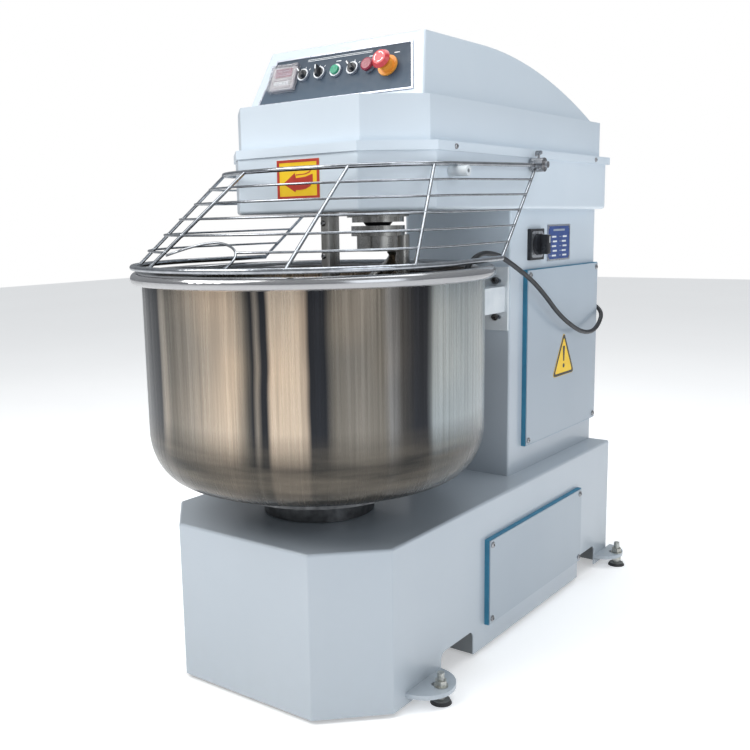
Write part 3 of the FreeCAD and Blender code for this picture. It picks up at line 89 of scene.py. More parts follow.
# ---- finishes -------------------------------------------------------------------------------
class Finish:
    """A material made of procedural nodes around one Principled shader."""

    def __init__(self, name, colour=(0.5, 0.5, 0.5), **settings):
        self.material = bpy.data.materials.new(name)
        self.material.use_nodes = True
        self.tree = self.material.node_tree
        self.shader = self.tree.nodes["Principled BSDF"]
        self.shader.inputs["Base Color"].default_value = (*colour, 1)
        for key, value in settings.items():
            self.shader.inputs[key.replace("_", " ")].default_value = value
        self.place = self.add("TexCoord").outputs["Object"]
        self.normal = None

    def add(self, kind, inputs=None, **props):
        made = self.tree.nodes.new("ShaderNode" + kind)
        for key, value in props.items():
            setattr(made, key, value)
        for key, value in (inputs or {}).items():
            self.put(made.inputs[key], value)
        return made

    def put(self, socket, value):
        if isinstance(value, bpy.types.NodeSocket):
            self.tree.links.new(value, socket)
        else:
            socket.default_value = value

    def noise(self, scale, detail=3.0, stretch=(1, 1, 1), rough=0.5):
        place = self.add("Mapping", {"Vector": self.place, "Scale": stretch}).outputs["Vector"]
        return self.add("TexNoise", {"Vector": place, "Scale": scale, "Detail": detail,
                                     "Roughness": rough}).outputs["Fac"]

    def ramp(self, factor, stops, ease="LINEAR"):
        made = self.add("ValToRGB", {"Fac": factor})
        made.color_ramp.interpolation = ease
        elements = made.color_ramp.elements
        for index, (position, colour) in enumerate(stops):
            element = elements[index] if index < 2 else elements.new(position)
            element.position = position
            element.color = (*colour, 1)
        return made.outputs["Color"]

    def grey(self, factor, low, high):
        """Black to white between two values of the factor."""
        return self.add("MapRange", {"Value": factor, "From Min": low, "From Max": high}).outputs["Result"]

    def mix(self, factor, first, second, blend="MIX"):
        made = self.add("Mix", {0: factor, 6: first, 7: second}, data_type="RGBA", blend_type=blend)
        return made.outputs[2]

    def maths(self, operation, first, second=0.0):
        return self.add("Math", {0: first, 1: second}, operation=operation).outputs[0]

    def axes(self):
        return self.add("SeparateXYZ", {"Vector": self.place}).outputs

    def bump(self, height, strength, distance=0.001):
        inputs = {"Height": height, "Strength": strength, "Distance": distance}
        if self.normal:
            inputs["Normal"] = self.normal
        self.normal = self.add("Bump", inputs).outputs["Normal"]
        self.put(self.shader.inputs["Normal"], self.normal)

    def colour(self, value):
        self.put(self.shader.inputs["Base Color"], value)

    def rough(self, factor, low, high, at_low=0.3, at_high=0.7):
        spread = self.add("MapRange", {"Value": factor, "From Min": at_low, "From Max": at_high,
                                       "To Min": low, "To Max": high}).outputs["Result"]
        self.put(self.shader.inputs["Roughness"], spread)


MACHINE_HEIGHT = 1.45
DUST_TOP, DUST_FOOT = 0.16, 0.01
# Share of the machine's height, and how much of the enamel's own tone is left there under painted shade,
# which is deepest near the floor.
HEIGHT_SHADE_TONES = ((0.0, (0.60, 0.60, 0.60)), (0.45, (0.64, 0.64, 0.65)), (0.70, (0.94, 0.94, 0.94)),
                (0.80, (1.0, 1.0, 1.0)), (0.88, (0.84, 0.84, 0.84)))


def enamel(name, light, dark, peel=0.10):
    """Sprayed gloss enamel: painted shade by height, deepest low down, with faint runs, dust near the floor
    and orange peel.
    """
    made = Finish(name, Coat_Weight=0.35, Coat_Roughness=0.12)
    tone = made.ramp(made.noise(1.7, 3), [(0.32, dark), (0.68, light)])
    runs = made.grey(made.noise(16, 4, (1, 1, 0.05)), 0.35, 0.75)
    tone = made.mix(made.maths("MULTIPLY", runs, 0.05), tone, (*dark, 1), "MULTIPLY")
    # Painted shade by height: the enamel is darkened near the floor and a little at the top, with full tone
    # at head height.
    height = made.grey(made.axes()[2], BASE_LOW.z, BASE_LOW.z + MACHINE_HEIGHT)
    tone = made.mix(1.0, tone, made.ramp(height, HEIGHT_SHADE_TONES), "MULTIPLY")
    low = made.grey(made.axes()[2], DUST_TOP, DUST_FOOT)
    dust = made.maths("MULTIPLY", low, made.grey(made.noise(28, 6), 0.42, 0.72))
    tone = made.mix(made.maths("MULTIPLY", dust, 0.10), tone, (0.36, 0.37, 0.37, 1))
    made.colour(tone)
    made.rough(made.noise(5, 2), 0.28, 0.35)
    made.bump(made.noise(420, 2), peel, 0.0004)
    made.bump(made.noise(3, 1), 0.06, 0.004)
    return made.material


def moulded(name, light, dark, low=0.3, high=0.5, grain=900, strength=0.12, **settings):
    """Moulded plastic or rubber: fine grain, soft patches and pale scuffs."""
    made = Finish(name, **settings)
    tone = made.ramp(made.noise(22, 4), [(0.3, dark), (0.7, light)])
    scuff = made.grey(made.noise(190, 5, (1, 0.25, 1)), 0.62, 0.78)
    worn = tuple(min(1.0, value * 1.5 + 0.03) for value in light)
    made.colour(made.mix(made.maths("MULTIPLY", scuff, 0.35), tone, (*worn, 1)))
    made.rough(made.noise(60, 4), low, high)
    made.bump(made.noise(grain, 2), strength, 0.0003)
    return made.material


def metal(name, light, dark, low=0.2, high=0.4, grain=(1, 1, 1), scale=60.0, strength=0.15,
          metallic=1.0):
    """Bare or plated metal: tone patches, grain drawn along one direction, small scratches."""
    made = Finish(name, Metallic=metallic)
    tone = made.ramp(made.noise(scale, 5, grain), [(0.3, dark), (0.7, light)])
    stain = made.grey(made.noise(9, 5), 0.5, 0.8)
    made.colour(made.mix(made.maths("MULTIPLY", stain, 0.3), tone, (*dark, 1)))
    made.rough(made.noise(scale * 0.6, 4, grain), low, high)
    made.bump(made.noise(scale * 7, 3, grain), strength, 0.0003)
    return made.material


BOWL_LOW, BOWL_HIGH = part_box("bowl")
BOWL_X = 0.5 * (BOWL_LOW.x + BOWL_HIGH.x)
BOWL_Y = 0.5 * (BOWL_LOW.y + BOWL_HIGH.y)
# Tones of the painted reflections round the bowl.
DARK = (0.030, 0.033, 0.040)
DEEP = (0.075, 0.072, 0.068)
TAUPE = (0.20, 0.185, 0.160)
BEIGE = (0.40, 0.36, 0.31)
PEACH = (0.74, 0.61, 0.48)
PALE = (0.40, 0.45, 0.47)
DULL = (0.25, 0.25, 0.25)
WARM = (0.27, 0.25, 0.22)
# Share of the way round the bowl, from its left rear, and the painted reflection's tone there.
BOWL_REFLECTION_BANDS = (
    (0.000, TAUPE), (0.108, TAUPE), (0.120, DARK), (0.192, DARK), (0.197, BEIGE), (0.203, BEIGE),
    (0.210, TAUPE), (0.240, BEIGE), (0.282, PEACH), (0.2955, TAUPE), (0.2990, DARK), (0.3024, DARK),
    (0.3040, BEIGE), (0.3064, DARK), (0.3130, DARK), (0.3165, PEACH), (0.3430, PEACH),
    (0.3465, DARK), (0.3610, DARK), (0.3650, TAUPE), (0.3850, WARM), (0.4072, TAUPE),
    (0.4150, DULL), (0.4239, DEEP), (0.4380, DARK), (0.4520, DARK), (0.4560, PALE), (0.5700, PALE),
    (0.6400, TAUPE), (0.7300, DARK), (0.8200, PEACH), (0.9200, DEEP))


# Share of a turn from the bowl's +X side to where the painted reflection bands start, and heights above the
# base's foot of the painted highlight, the painted shade in the lower corner and the rim.
BAND_START = 0.495
HIGHLIGHT_FOOT, HIGHLIGHT_TOP = 0.62, 0.90
CORNER_SHADE_TOP, CORNER_SHADE_FOOT = 0.625, 0.550
RIM_FOOT, RIM_TOP = 0.8985, 0.9005
HIGHLIGHT_GAIN = (2.2, 1.9, 1.6, 1)
# Tones of the fine upright streaks, partly the polish's grain and partly painted reflection.
STREAK_TONES = ((0.25, (0.35, 0.34, 0.33)), (0.5, (0.8, 0.78, 0.76)), (0.75, (1.0, 1.0, 1.0)))
CORNER_SHADE_TONES = ((0.3, (0.026, 0.025, 0.023)), (0.7, (0.105, 0.092, 0.075)))


def bowl_steel():
    """Polished sheet spun and drawn upright: broad painted reflection bands round the bowl, fine streaks
    that are partly grain and partly painted reflection, a painted highlight near the top and painted shade
    in the lower corner.
    """
    made = Finish("bowl_steel", Metallic=0.82, Anisotropic=0.35)
    x, y, z = made.axes()[0], made.axes()[1], made.axes()[2]
    angle = made.maths("ARCTAN2", made.maths("SUBTRACT", y, BOWL_Y), made.maths("SUBTRACT", x, BOWL_X))
    turn = made.maths("FRACT", made.maths("ADD", made.maths("DIVIDE", angle, TAU), BAND_START))
    sway = made.maths("MULTIPLY", made.maths("SUBTRACT", made.noise(3.2, 2), 0.5), 0.008)
    share = made.maths("ADD", turn, sway)
    # Painted reflection bands, by the share of the way round the bowl.
    bands = made.ramp(share, BOWL_REFLECTION_BANDS)
    around = made.add("CombineXYZ", {"X": made.maths("MULTIPLY", angle, 40.0),
                                     "Z": made.maths("MULTIPLY", z, 1.6)}).outputs["Vector"]
    streak = made.add("TexNoise", {"Vector": around, "Scale": 1.0, "Detail": 6.0,
                                   "Roughness": 0.6}).outputs["Fac"]
    bands = made.mix(0.75, bands, made.ramp(streak, STREAK_TONES), "MULTIPLY")
    # Painted highlight: the upper part of the bowl is brightened in soft patches.
    top = made.grey(z, BASE_LOW.z + HIGHLIGHT_FOOT, BASE_LOW.z + HIGHLIGHT_TOP)
    highlight_patches = made.grey(made.noise(3.0, 2), 0.38, 0.62)
    painted_highlight = made.maths("MULTIPLY", made.maths("MULTIPLY", top, highlight_patches), 0.55)
    bands = made.mix(painted_highlight, bands, HIGHLIGHT_GAIN, "MULTIPLY")
    # Painted shade in the bowl's lower corner: dark tones laid over the bands near the base.
    low = made.grey(z, BASE_LOW.z + CORNER_SHADE_TOP, BASE_LOW.z + CORNER_SHADE_FOOT)
    corner_shade = made.ramp(made.noise(5, 4, (1, 1, 9)), CORNER_SHADE_TONES)
    bands = made.mix(made.maths("MULTIPLY", low, 0.92), bands, corner_shade)
    rim = made.grey(z, BASE_LOW.z + RIM_FOOT, BASE_LOW.z + RIM_TOP)
    made.colour(made.mix(rim, bands, (0.40, 0.40, 0.41, 1)))
    made.rough(made.mix(rim, streak, (0.3, 0.3, 0.3, 1)), 0.17, 0.34)
    below = made.maths("SUBTRACT", 1.0, rim)
    made.bump(made.maths("MULTIPLY", streak, below), 0.08, 0.0006)
    made.bump(made.maths("MULTIPLY", made.noise(4.0, 2), below), 0.08, 0.004)
    return made.material


def foot_finish():
    """Rubber pad below, zinc-plated stud above."""
    made = Finish("foot_pad_and_stud")
    stud = made.grey(made.axes()[2], BASE_LOW.z - 0.0025, BASE_LOW.z - 0.0015)
    rubber = made.ramp(made.noise(40, 4), [(0.3, (0.020, 0.020, 0.021)), (0.7, (0.040, 0.040, 0.042))])
    zinc = made.ramp(made.noise(110, 4), [(0.3, (0.36, 0.37, 0.36)), (0.7, (0.62, 0.63, 0.60))])
    made.colour(made.mix(stud, rubber, zinc))
    made.put(made.shader.inputs["Metallic"], stud)
    made.rough(made.noise(60, 3), 0.35, 0.6)
    thread = made.add("TexWave", {"Vector": made.place, "Scale": 160.0, "Distortion": 0.4},
                      bands_direction="Z").outputs["Fac"]
    made.bump(thread, 0.5, 0.0006)
    return made.material


def clear_lid():
    """Clear acrylic, slightly milky, with fine scratches and dust."""
    made = Finish("clear_lid", (0.93, 0.93, 0.95), Transmission_Weight=0.9, IOR=1.45, Alpha=0.32)
    made.colour(made.ramp(made.noise(70, 5), [(0.3, (0.80, 0.78, 0.80)), (0.7, (0.95, 0.95, 0.97))]))
    made.rough(made.noise(150, 5), 0.04, 0.10)
    made.bump(made.noise(500, 3, (1, 0.2, 1)), 0.02, 0.0002)
    return made.material


def panel_film():
    """Printed slate film: darker at its top, with a fine satin grain."""
    made = Finish("panel_film", Specular_IOR_Level=0.3)
    low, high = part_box("control_plate")
    fade = made.grey(made.axes()[2], low.z, high.z)
    tone = made.ramp(fade, [(0.0, (0.062, 0.098, 0.142)), (0.55, (0.042, 0.066, 0.098)),
                            (1.0, (0.030, 0.048, 0.074))])
    made.colour(made.mix(made.maths("MULTIPLY", made.grey(made.noise(35, 5), 0.35, 0.75), 0.25),
                         tone, (0.095, 0.12, 0.155, 1)))
    made.rough(made.noise(80, 4), 0.34, 0.52)
    made.bump(made.noise(1500, 2), 0.08, 0.0002)
    return made.material


def printed(name, light, dark, **settings):
    """Printed sheet or paint film on a plate: even ink with soft mottling and fine wear."""
    made = Finish(name, **settings)
    tone = made.ramp(made.noise(40, 5), [(0.3, dark), (0.7, light)])
    worn = made.grey(made.noise(300, 5), 0.66, 0.80)
    pale = tuple(min(1.0, value + 0.12) for value in light)
    made.colour(made.mix(made.maths("MULTIPLY", worn, 0.4), tone, (*pale, 1)))
    made.rough(made.noise(90, 4), 0.28, 0.46)
    made.bump(made.noise(700, 2), 0.06, 0.0002)
    return made.material


WHITE = enamel("white_enamel", (0.725, 0.805, 0.880), (0.680, 0.765, 0.845))
FINISHES = {
    "white_paint": WHITE,
    "cover_paint": enamel("cover_enamel", (0.560, 0.650, 0.735), (0.525, 0.615, 0.702)),
    "seal_rubber": moulded("teal_seal", (0.034, 0.215, 0.350), (0.026, 0.172, 0.290), 0.35, 0.55),
    "stainless": metal("brushed_stainless", (0.50, 0.49, 0.47), (0.26, 0.25, 0.23), 0.18, 0.36,
                       (1, 1, 0.06)),
    "wire_steel": metal("guard_steel", (0.44, 0.46, 0.49), (0.30, 0.315, 0.34), 0.12, 0.25, scale=60,
                        strength=0.03),
    "bright_fasteners": metal("bright_fasteners", (0.48, 0.48, 0.49), (0.20, 0.20, 0.21), 0.22, 0.42,
                              scale=160),
    "zinc_steel": metal("zinc_plate", (0.62, 0.62, 0.58), (0.36, 0.36, 0.33), 0.25, 0.5, scale=120),
    "cast_grey": metal("cast_iron", (0.16, 0.165, 0.17), (0.09, 0.092, 0.095), 0.45, 0.65,
                       strength=0.5, metallic=0.5),
    "bearing_steel": metal("bearing_steel", (0.55, 0.55, 0.56), (0.33, 0.33, 0.34), 0.15, 0.3),
    "belt_rubber": moulded("belt_rubber", (0.028, 0.028, 0.030), (0.015, 0.015, 0.016), 0.6, 0.8),
    "seal_black": moulded("shaft_seal", (0.030, 0.030, 0.034), (0.016, 0.016, 0.018), 0.35, 0.55),
    "motor_paint": enamel("motor_enamel", (0.115, 0.165, 0.215), (0.075, 0.115, 0.160), 0.2),
    "frame_steel": enamel("frame_enamel", (0.28, 0.31, 0.33), (0.20, 0.225, 0.245), 0.2),
    "control_blue": panel_film(),
    "control_chrome": metal("satin_trim", (0.56, 0.58, 0.65), (0.45, 0.47, 0.54), 0.24, 0.36,
                            scale=90, strength=0.03, metallic=0.6),
    "knob_black": moulded("knob_black", (0.026, 0.028, 0.034), (0.014, 0.015, 0.018), 0.22, 0.42),
    "green_plastic": moulded("green_button", (0.020, 0.330, 0.185), (0.012, 0.235, 0.130), 0.2, 0.35,
                             Coat_Weight=0.3),
    "dark_red_plastic": moulded("crimson_button", (0.300, 0.016, 0.050), (0.195, 0.010, 0.034), 0.2,
                                0.35, Coat_Weight=0.3),
    "red_plastic": moulded("red_button", (0.640, 0.040, 0.050), (0.500, 0.026, 0.034), 0.22, 0.38,
                           Coat_Weight=0.3),
    "yellow_plastic": moulded("amber_collar", (0.900, 0.390, 0.060), (0.780, 0.300, 0.040), 0.28, 0.44),
    "timer_plastic": moulded("timer_case", (0.560, 0.530, 0.550), (0.450, 0.425, 0.450), 0.35, 0.5),
    "lid_plastic": clear_lid(),
    "switch_black": moulded("switch_black", (0.022, 0.024, 0.030), (0.011, 0.012, 0.015), 0.25, 0.45),
    "switch_silver": metal("switch_silver", (0.66, 0.68, 0.71), (0.47, 0.49, 0.52), 0.25, 0.42,
                           (0.08, 1, 1), 200),
    "plate_blue": printed("plate_blue", (0.035, 0.085, 0.300), (0.022, 0.058, 0.225)),
    "sign_yellow": printed("sign_yellow", (0.960, 0.640, 0.020), (0.900, 0.560, 0.010)),
    "arrow_yellow": printed("arrow_yellow", (0.960, 0.640, 0.020), (0.900, 0.560, 0.010)),
    "nylon_white": moulded("nylon_white", (0.720, 0.760, 0.790), (0.620, 0.670, 0.710), 0.4, 0.6),
    "foot_rubber": moulded("foot_rubber", (0.030, 0.030, 0.032), (0.016, 0.016, 0.017), 0.6, 0.85),
    "cord_black": moulded("cord_jacket", (0.020, 0.022, 0.027), (0.011, 0.012, 0.015), 0.34, 0.52,
                          700, 0.15),
    "plug_plastic": moulded("plug_shell", (0.030, 0.032, 0.038), (0.016, 0.017, 0.021), 0.36, 0.55),
    "inlet_grey": moulded("inlet_case", (0.330, 0.350, 0.370), (0.255, 0.275, 0.295), 0.4, 0.6),
}
BOWL_STEEL = bowl_steel()
# Finishes of the details that only the pieces made here have.
INK = {
    "white": printed("ink_white", (0.86, 0.88, 0.90), (0.76, 0.79, 0.82)),
    "red": printed("ink_red", (0.560, 0.050, 0.028), (0.450, 0.036, 0.020)),
    "black": printed("ink_black", (0.022, 0.022, 0.024), (0.012, 0.012, 0.013)),
    "rose": printed("display_window", (0.300, 0.105, 0.150), (0.210, 0.070, 0.105), Coat_Weight=0.5),
    "brass": metal("pin_brass", (0.78, 0.60, 0.30), (0.58, 0.42, 0.18), 0.2, 0.35),
    "pale": printed("ink_pale", (0.42, 0.47, 0.54), (0.34, 0.39, 0.46)),
}


TURNTABLE_STEEL = metal("turntable_steel", (0.16, 0.165, 0.17), (0.08, 0.082, 0.086), 0.3, 0.5,
                        strength=0.08)
# CAD parts whose finish isn't the one of their slot.
SPECIAL = {"turntable": TURNTABLE_STEEL, "bowl": BOWL_STEEL, "levelling_feet": foot_finish(),
           "main_switch_handle": FINISHES["switch_black"]}


def dress_cad():
    for part in frame["record"]["subparts"]:
        name = part["node"]
        finish = SPECIAL.get(name) or FINISHES[part["material_slot"]]
        node = frame["nodes"][name]
        node.data.materials.clear()
        node.data.materials.append(finish)


dress_cad()


# ---- mesh building --------------------------------------------------------------------------
FACE_FOOT = (347.5, 1285.0)
FACE_LEAN = math.atan2(61.3, 144.6)


def on_face(x, h, z):
    """Point of the hood's leaning face: across it, up it and out of it, in mm."""
    y = FACE_FOOT[0] + h * math.sin(FACE_LEAN) - z * math.cos(FACE_LEAN)
    return at(x, y, FACE_FOOT[1] + h * math.cos(FACE_LEAN) + z * math.sin(FACE_LEAN))


class Shape:
    """Mesh in the making: skins over loops of points."""

    def __init__(self):
        self.mesh = bmesh.new()

    def skin(self, loops, closed=False, caps=True):
        rows = [[self.mesh.verts.new(point) for point in loop] for loop in loops]
        pairs = list(zip(rows, rows[1:]))
        if closed:
            pairs.append((rows[-1], rows[0]))
        for low, high in pairs:
            for index in range(len(low)):
                after = (index + 1) % len(low)
                self.mesh.faces.new((low[index], low[after], high[after], high[index]))
        if caps and not closed:
            self.mesh.faces.new(rows[0][::-1])
            self.mesh.faces.new(rows[-1])

    def slab(self, outline, z0, z1, place, edge=0.0):
        """Outline raised from z0 to z1, its top edge rounded off by a small chamfer."""
        middle = [sum(values) / len(outline) for values in zip(*outline)]
        loops = [(1.0, z0), (1.0, z1 - edge), (0.0, z1)] if edge else [(1.0, z0), (1.0, z1)]
        made = []
        for whole, z in loops:
            shrink = 0.0 if whole else edge
            made.append([place(*self.inward(point, middle, shrink), z) for point in outline])
        self.skin(made)

    @staticmethod
    def inward(point, middle, amount):
        offset = (middle[0] - point[0], middle[1] - point[1])
        length = math.hypot(*offset) or 1.0
        return (point[0] + offset[0] / length * amount, point[1] + offset[1] / length * amount)

    def band(self, outer, inner, z0, z1, place):
        """Closed strip between two outlines with the same number of points."""
        self.skin([[place(*p, z0) for p in outer], [place(*p, z1) for p in outer],
                   [place(*p, z1) for p in inner], [place(*p, z0) for p in inner]], closed=True)

    def lathe(self, profile, start, axis, sides=32, flutes=0, depth=0.0):
        """Turned form: pairs of radius and distance along the axis, optionally fluted."""
        axis = Vector(axis).normalized()
        across = axis.orthogonal().normalized()
        other = axis.cross(across)
        loops = []
        for radius, along in profile:
            loop = []
            for index in range(sides):
                turn = TAU * index / sides
                reach = radius - depth * (0.5 + 0.5 * math.cos(flutes * turn)) if flutes else radius
                out = across * math.cos(turn) + other * math.sin(turn)
                loop.append(start + axis * (along * MM) + out * (reach * MM))
            loops.append(loop)
        self.skin(loops)

    def finish(self, name, body, material, slot, crease=32.0):
        bmesh.ops.recalc_face_normals(self.mesh, faces=self.mesh.faces)
        data = bpy.data.meshes.new(name)
        self.mesh.to_mesh(data)
        self.mesh.free()
        data.materials.append(material)
        data.shade_smooth()
        data.set_sharp_from_angle(angle=math.radians(crease))
        made = bpy.data.objects.new(name, data)
        bpy.context.scene.collection.objects.link(made)
        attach(made, body)
        return made


def rectangle(x0, x1, y0, y1):
    return [(x0, y0), (x1, y0), (x1, y1), (x0, y1)]


def rounded(x0, x1, y0, y1, radius, steps=4):
    """Rectangle with rounded corners."""
    points = []
    for cx, cy, first in ((x1 - radius, y0 + radius, -90), (x1 - radius, y1 - radius, 0),
                          (x0 + radius, y1 - radius, 90), (x0 + radius, y0 + radius, 180)):
        for step in range(steps + 1):
            turn = math.radians(first + 90 * step / steps)
            points.append((cx + radius * math.cos(turn), cy + radius * math.sin(turn)))
    return points


def circle(x, y, radius, count=40):
    return [(x + radius * math.cos(TAU * k / count), y + radius * math.sin(TAU * k / count))
            for k in range(count)]


def arc_strip(x, y, low, high, first, last, steps=14):
    """Outline of a strip along an arc."""
    turns = [math.radians(first + (last - first) * k / steps) for k in range(steps + 1)]
    outer = [(x + high * math.cos(t), y + high * math.sin(t)) for t in turns]
    inner = [(x + low * math.cos(t), y + low * math.sin(t)) for t in turns]
    return outer + inner[::-1]


# ---- power cord -----------------------------------------------------------------------------
# Control points of the cord's line, in metres from the base's front lower edge: the gland behind
# the column, round its rear right edge, along its side, over the bowl's rim and down to its floor.
CORD_ROUTE = (
    (0.165, 1.326, 0.900), (0.167, 1.328, 0.858), (0.184, 1.332, 0.808), (0.226, 1.323, 0.774),
    (0.274, 1.298, 0.748), (0.288, 1.244, 0.719), (0.292, 1.185, 0.700), (0.293, 1.110, 0.706),
    (0.291, 1.030, 0.735), (0.289, 0.950, 0.775), (0.290, 0.870, 0.827), (0.291, 0.790, 0.871),
    (0.294, 0.705, 0.904), (0.291, 0.640, 0.931), (0.288, 0.592, 0.945), (0.283, 0.532, 0.948),
    (0.274, 0.488, 0.918), (0.267, 0.466, 0.862), (0.264, 0.458, 0.786), (0.256, 0.454, 0.700),
    (0.257, 0.446, 0.622), (0.253, 0.428, 0.552), (0.245, 0.390, 0.494), (0.234, 0.330, 0.468),
    (0.229, 0.262, 0.466), (0.227, 0.208, 0.466))
COIL_X, COIL_Y = 0.150, 0.140
COIL_OUTER, COIL_INNER = 0.074, 0.061
COIL_FLOOR, COIL_UPPER = 0.466, 0.4785
COIL_STEP = 30
CORD_TAIL = ((0.140, 0.0685, 0.479), (0.122, 0.069, 0.484), (0.104, 0.070, 0.487))
CORD_DIAMETER = 0.012


def eased(value, start, end):
    share = min(1.0, max(0.0, (value - start) / (end - start)))
    return share * share * (3 - 2 * share)


def coil_points():
    """Three and a quarter turns: outer and inner on the floor, then inner and outer on top."""
    points = []
    for turned in range(COIL_STEP, 1171, COIL_STEP):
        inward = eased(turned, 320, 370) - eased(turned, 960, 1010)
        rise = eased(turned, 640, 690)
        radius = COIL_OUTER + (COIL_INNER - COIL_OUTER) * inward
        angle = math.radians(-turned)
        points.append((COIL_X + radius * math.cos(angle), COIL_Y + radius * math.sin(angle),
                       COIL_FLOOR + (COIL_UPPER - COIL_FLOOR) * rise))
    return points


def make_cord():
    points = list(CORD_ROUTE) + coil_points() + list(CORD_TAIL)
    data = bpy.data.curves.new("power_cord_line", "CURVE")
    data.dimensions = "3D"
    spline = data.splines.new("NURBS")
    spline.points.add(len(points) - 1)
    for control, (x, y, z) in zip(spline.points, points):
        control.co = (x, y + BASE_LOW.y, z + BASE_LOW.z, 1)
    spline.order_u = 3
    spline.use_endpoint_u = True
    data.resolution_u = 10
    data.bevel_depth = 0.5 * CORD_DIAMETER
    data.bevel_resolution = 5
    data.use_fill_caps = True
    data.materials.append(FINISHES["cord_black"])
    made = bpy.data.objects.new("power_cord_line", data)
    bpy.context.scene.collection.objects.link(made)
    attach(made, "frame")
    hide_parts("power_cord", "cord_coil")
    return made


def cord_line(cord):
    """Points along the cord's own line."""
    data = cord.data.copy()
    data.bevel_depth = 0
    bare = bpy.data.objects.new("bare_line", data)
    bpy.context.scene.collection.objects.link(bare)
    mesh = bpy.data.meshes.new_from_object(bare)
    points = [vertex.co.copy() for vertex in mesh.vertices]
    bpy.data.objects.remove(bare)
    bpy.data.meshes.remove(mesh)
    return points


def sleeve(shape, points, profile, sides=24):
    """Skin round a line: pairs of radius in mm and distance along the line in mm."""
    loops = []
    for radius, along in profile:
        left = along * MM
        for first, second in zip(points, points[1:]):
            step = (second - first).length
            if step >= left:
                break
            left -= step
        heading = (second - first).normalized()
        middle = first + heading * left
        across = Vector((1, 0, 0)) - heading * heading.x
        across.normalize()
        other = heading.cross(across)
        loops.append([middle + (across * math.cos(TAU * k / sides) + other * math.sin(TAU * k / sides))
                      * (radius * MM) for k in range(sides)])
    shape.skin(loops)


def cord_relief(line):
    """Ribbed, tapered sleeve where the cord leaves the gland."""
    profile = [(9.6, 0.0), (9.6, 4.0)]
    for index in range(6):
        start = 5.0 + index * 5.6
        radius = 9.2 - 0.42 * index
        profile += [(radius - 0.9, start), (radius, start + 0.7), (radius - 0.3, start + 3.9),
                    (radius - 1.2, start + 4.6)]
    profile += [(6.6, 40.0), (6.2, 41.0)]
    shape = Shape()
    sleeve(shape, line, profile)
    return shape.finish("cord_relief", "frame", FINISHES["cord_black"], "cord_black", 50)


PLUG_AT = (0.070, 0.487)


def mains_plug():
    """Round three-phase plug with a ribbed grip, a clamp nut and four pins in a guard sleeve."""
    start = Vector((0.104, PLUG_AT[0] + BASE_LOW.y, PLUG_AT[1] + BASE_LOW.z))
    shape = Shape()
    shape.lathe([(6.4, -1.0), (8.4, 0.0), (9.0, 6.0), (8.4, 8.0), (9.6, 9.0), (9.9, 16.0), (9.2, 18.0),
                 (10.5, 19.0), (10.9, 27.0), (10.2, 29.0), (11.2, 30.0), (11.2, 42.0)], start, (-1, 0, 0))
    shape.lathe([(15.0, 41.0), (17.2, 43.0), (19.2, 62.0), (17.8, 64.0)], start, (-1, 0, 0), 72, 18, 1.3)
    shape.lathe([(17.5, 63.0), (20.5, 65.0), (22.0, 80.0), (22.4, 84.0)], start, (-1, 0, 0), 48)
    shape.lathe([(22.0, 81.0), (26.4, 83.0), (27.0, 86.0), (27.0, 92.0), (25.6, 94.0), (25.6, 137.0),
                 (27.0, 139.0), (27.0, 146.0), (26.0, 148.0), (24.2, 148.0), (23.8, 146.5),
                 (23.8, 124.0), (17.0, 123.0), (16.4, 146.5), (15.0, 147.5)], start, (-1, 0, 0), 48)
    key = [(-3.2, 24.0), (3.2, 24.0), (2.6, 26.9), (-2.6, 26.9)]
    loops = []
    for along in (96.0, 138.0):
        loops.append([start + Vector((-along * MM, y * MM, z * MM)) for y, z in key])
    shape.skin(loops)
    made = shape.finish("mains_plug", "frame", FINISHES["plug_plastic"], "plug_plastic")
    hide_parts("cord_plug")
    return made


def plug_pins():
    shape = Shape()
    for index in range(4):
        turn = math.radians(45 + 90 * index)
        start = Vector((0.104, PLUG_AT[0] + BASE_LOW.y + 0.0205 * math.cos(turn),
                        PLUG_AT[1] + BASE_LOW.z + 0.0205 * math.sin(turn)))
        radius = 2.4 if index else 2.9
        shape.lathe([(radius, 122.0), (radius, 141.0), (radius - 0.6, 144.0), (0.6, 145.5)], start,
                    (-1, 0, 0), 16)
    return shape.finish("plug_pins", "frame", INK["brass"], "plug_plastic")


POWER_CORD = make_cord()
CORD_LINE = cord_line(POWER_CORD)
RELIEF = cord_relief(CORD_LINE)
PLUG = mains_plug()
PINS = plug_pins()
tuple(CORD_LINE[0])


# ---- guard welds ----------------------------------------------------------------------------
PIVOT = (780.0, 1152.0)


def guard_point(degrees, t):
    """Point of the guard's surface at an angle of its front arc and a share of its height."""
    half = 305 + (383 - 305) * t
    arc_y = 403.5 + (251.5 - 403.5) * t
    depth = 253.5 + (383 - 253.5) * t
    end_y = PIVOT[0] + (510 - PIVOT[0]) * t
    end_z = PIVOT[1] + (938 - PIVOT[1]) * t
    turn = math.radians(degrees)
    y = arc_y + depth * math.sin(turn)
    return at(half * math.cos(turn), y, end_z - 0.024 * (1 - t) * (end_y - y))


def guard_welds():
    """Small weld nuggets where the ribs cross the wires and the ring."""
    shape = Shape()
    draw = random.Random(7)
    for degrees in (-18.0, -57.0, -108.0, -147.0):
        top, foot = guard_point(degrees, 0.0), guard_point(degrees, 1.0)
        for step in range(1, 7):
            share = step / 6
            middle = top.lerp(foot, share)
            size = 4.3 + draw.random() * 0.7 if step < 6 else 6.4
            shape.lathe([(0.5, -0.86 * size), (0.62 * size, -0.62 * size), (0.94 * size, -0.2 * size),
                         (0.94 * size, 0.25 * size), (0.6 * size, 0.65 * size), (0.5, 0.9 * size)],
                        middle, foot - top, 14)
    return shape.finish("guard_welds", "guard", FINISHES["wire_steel"], "wire_steel", 60)


guard_welds()


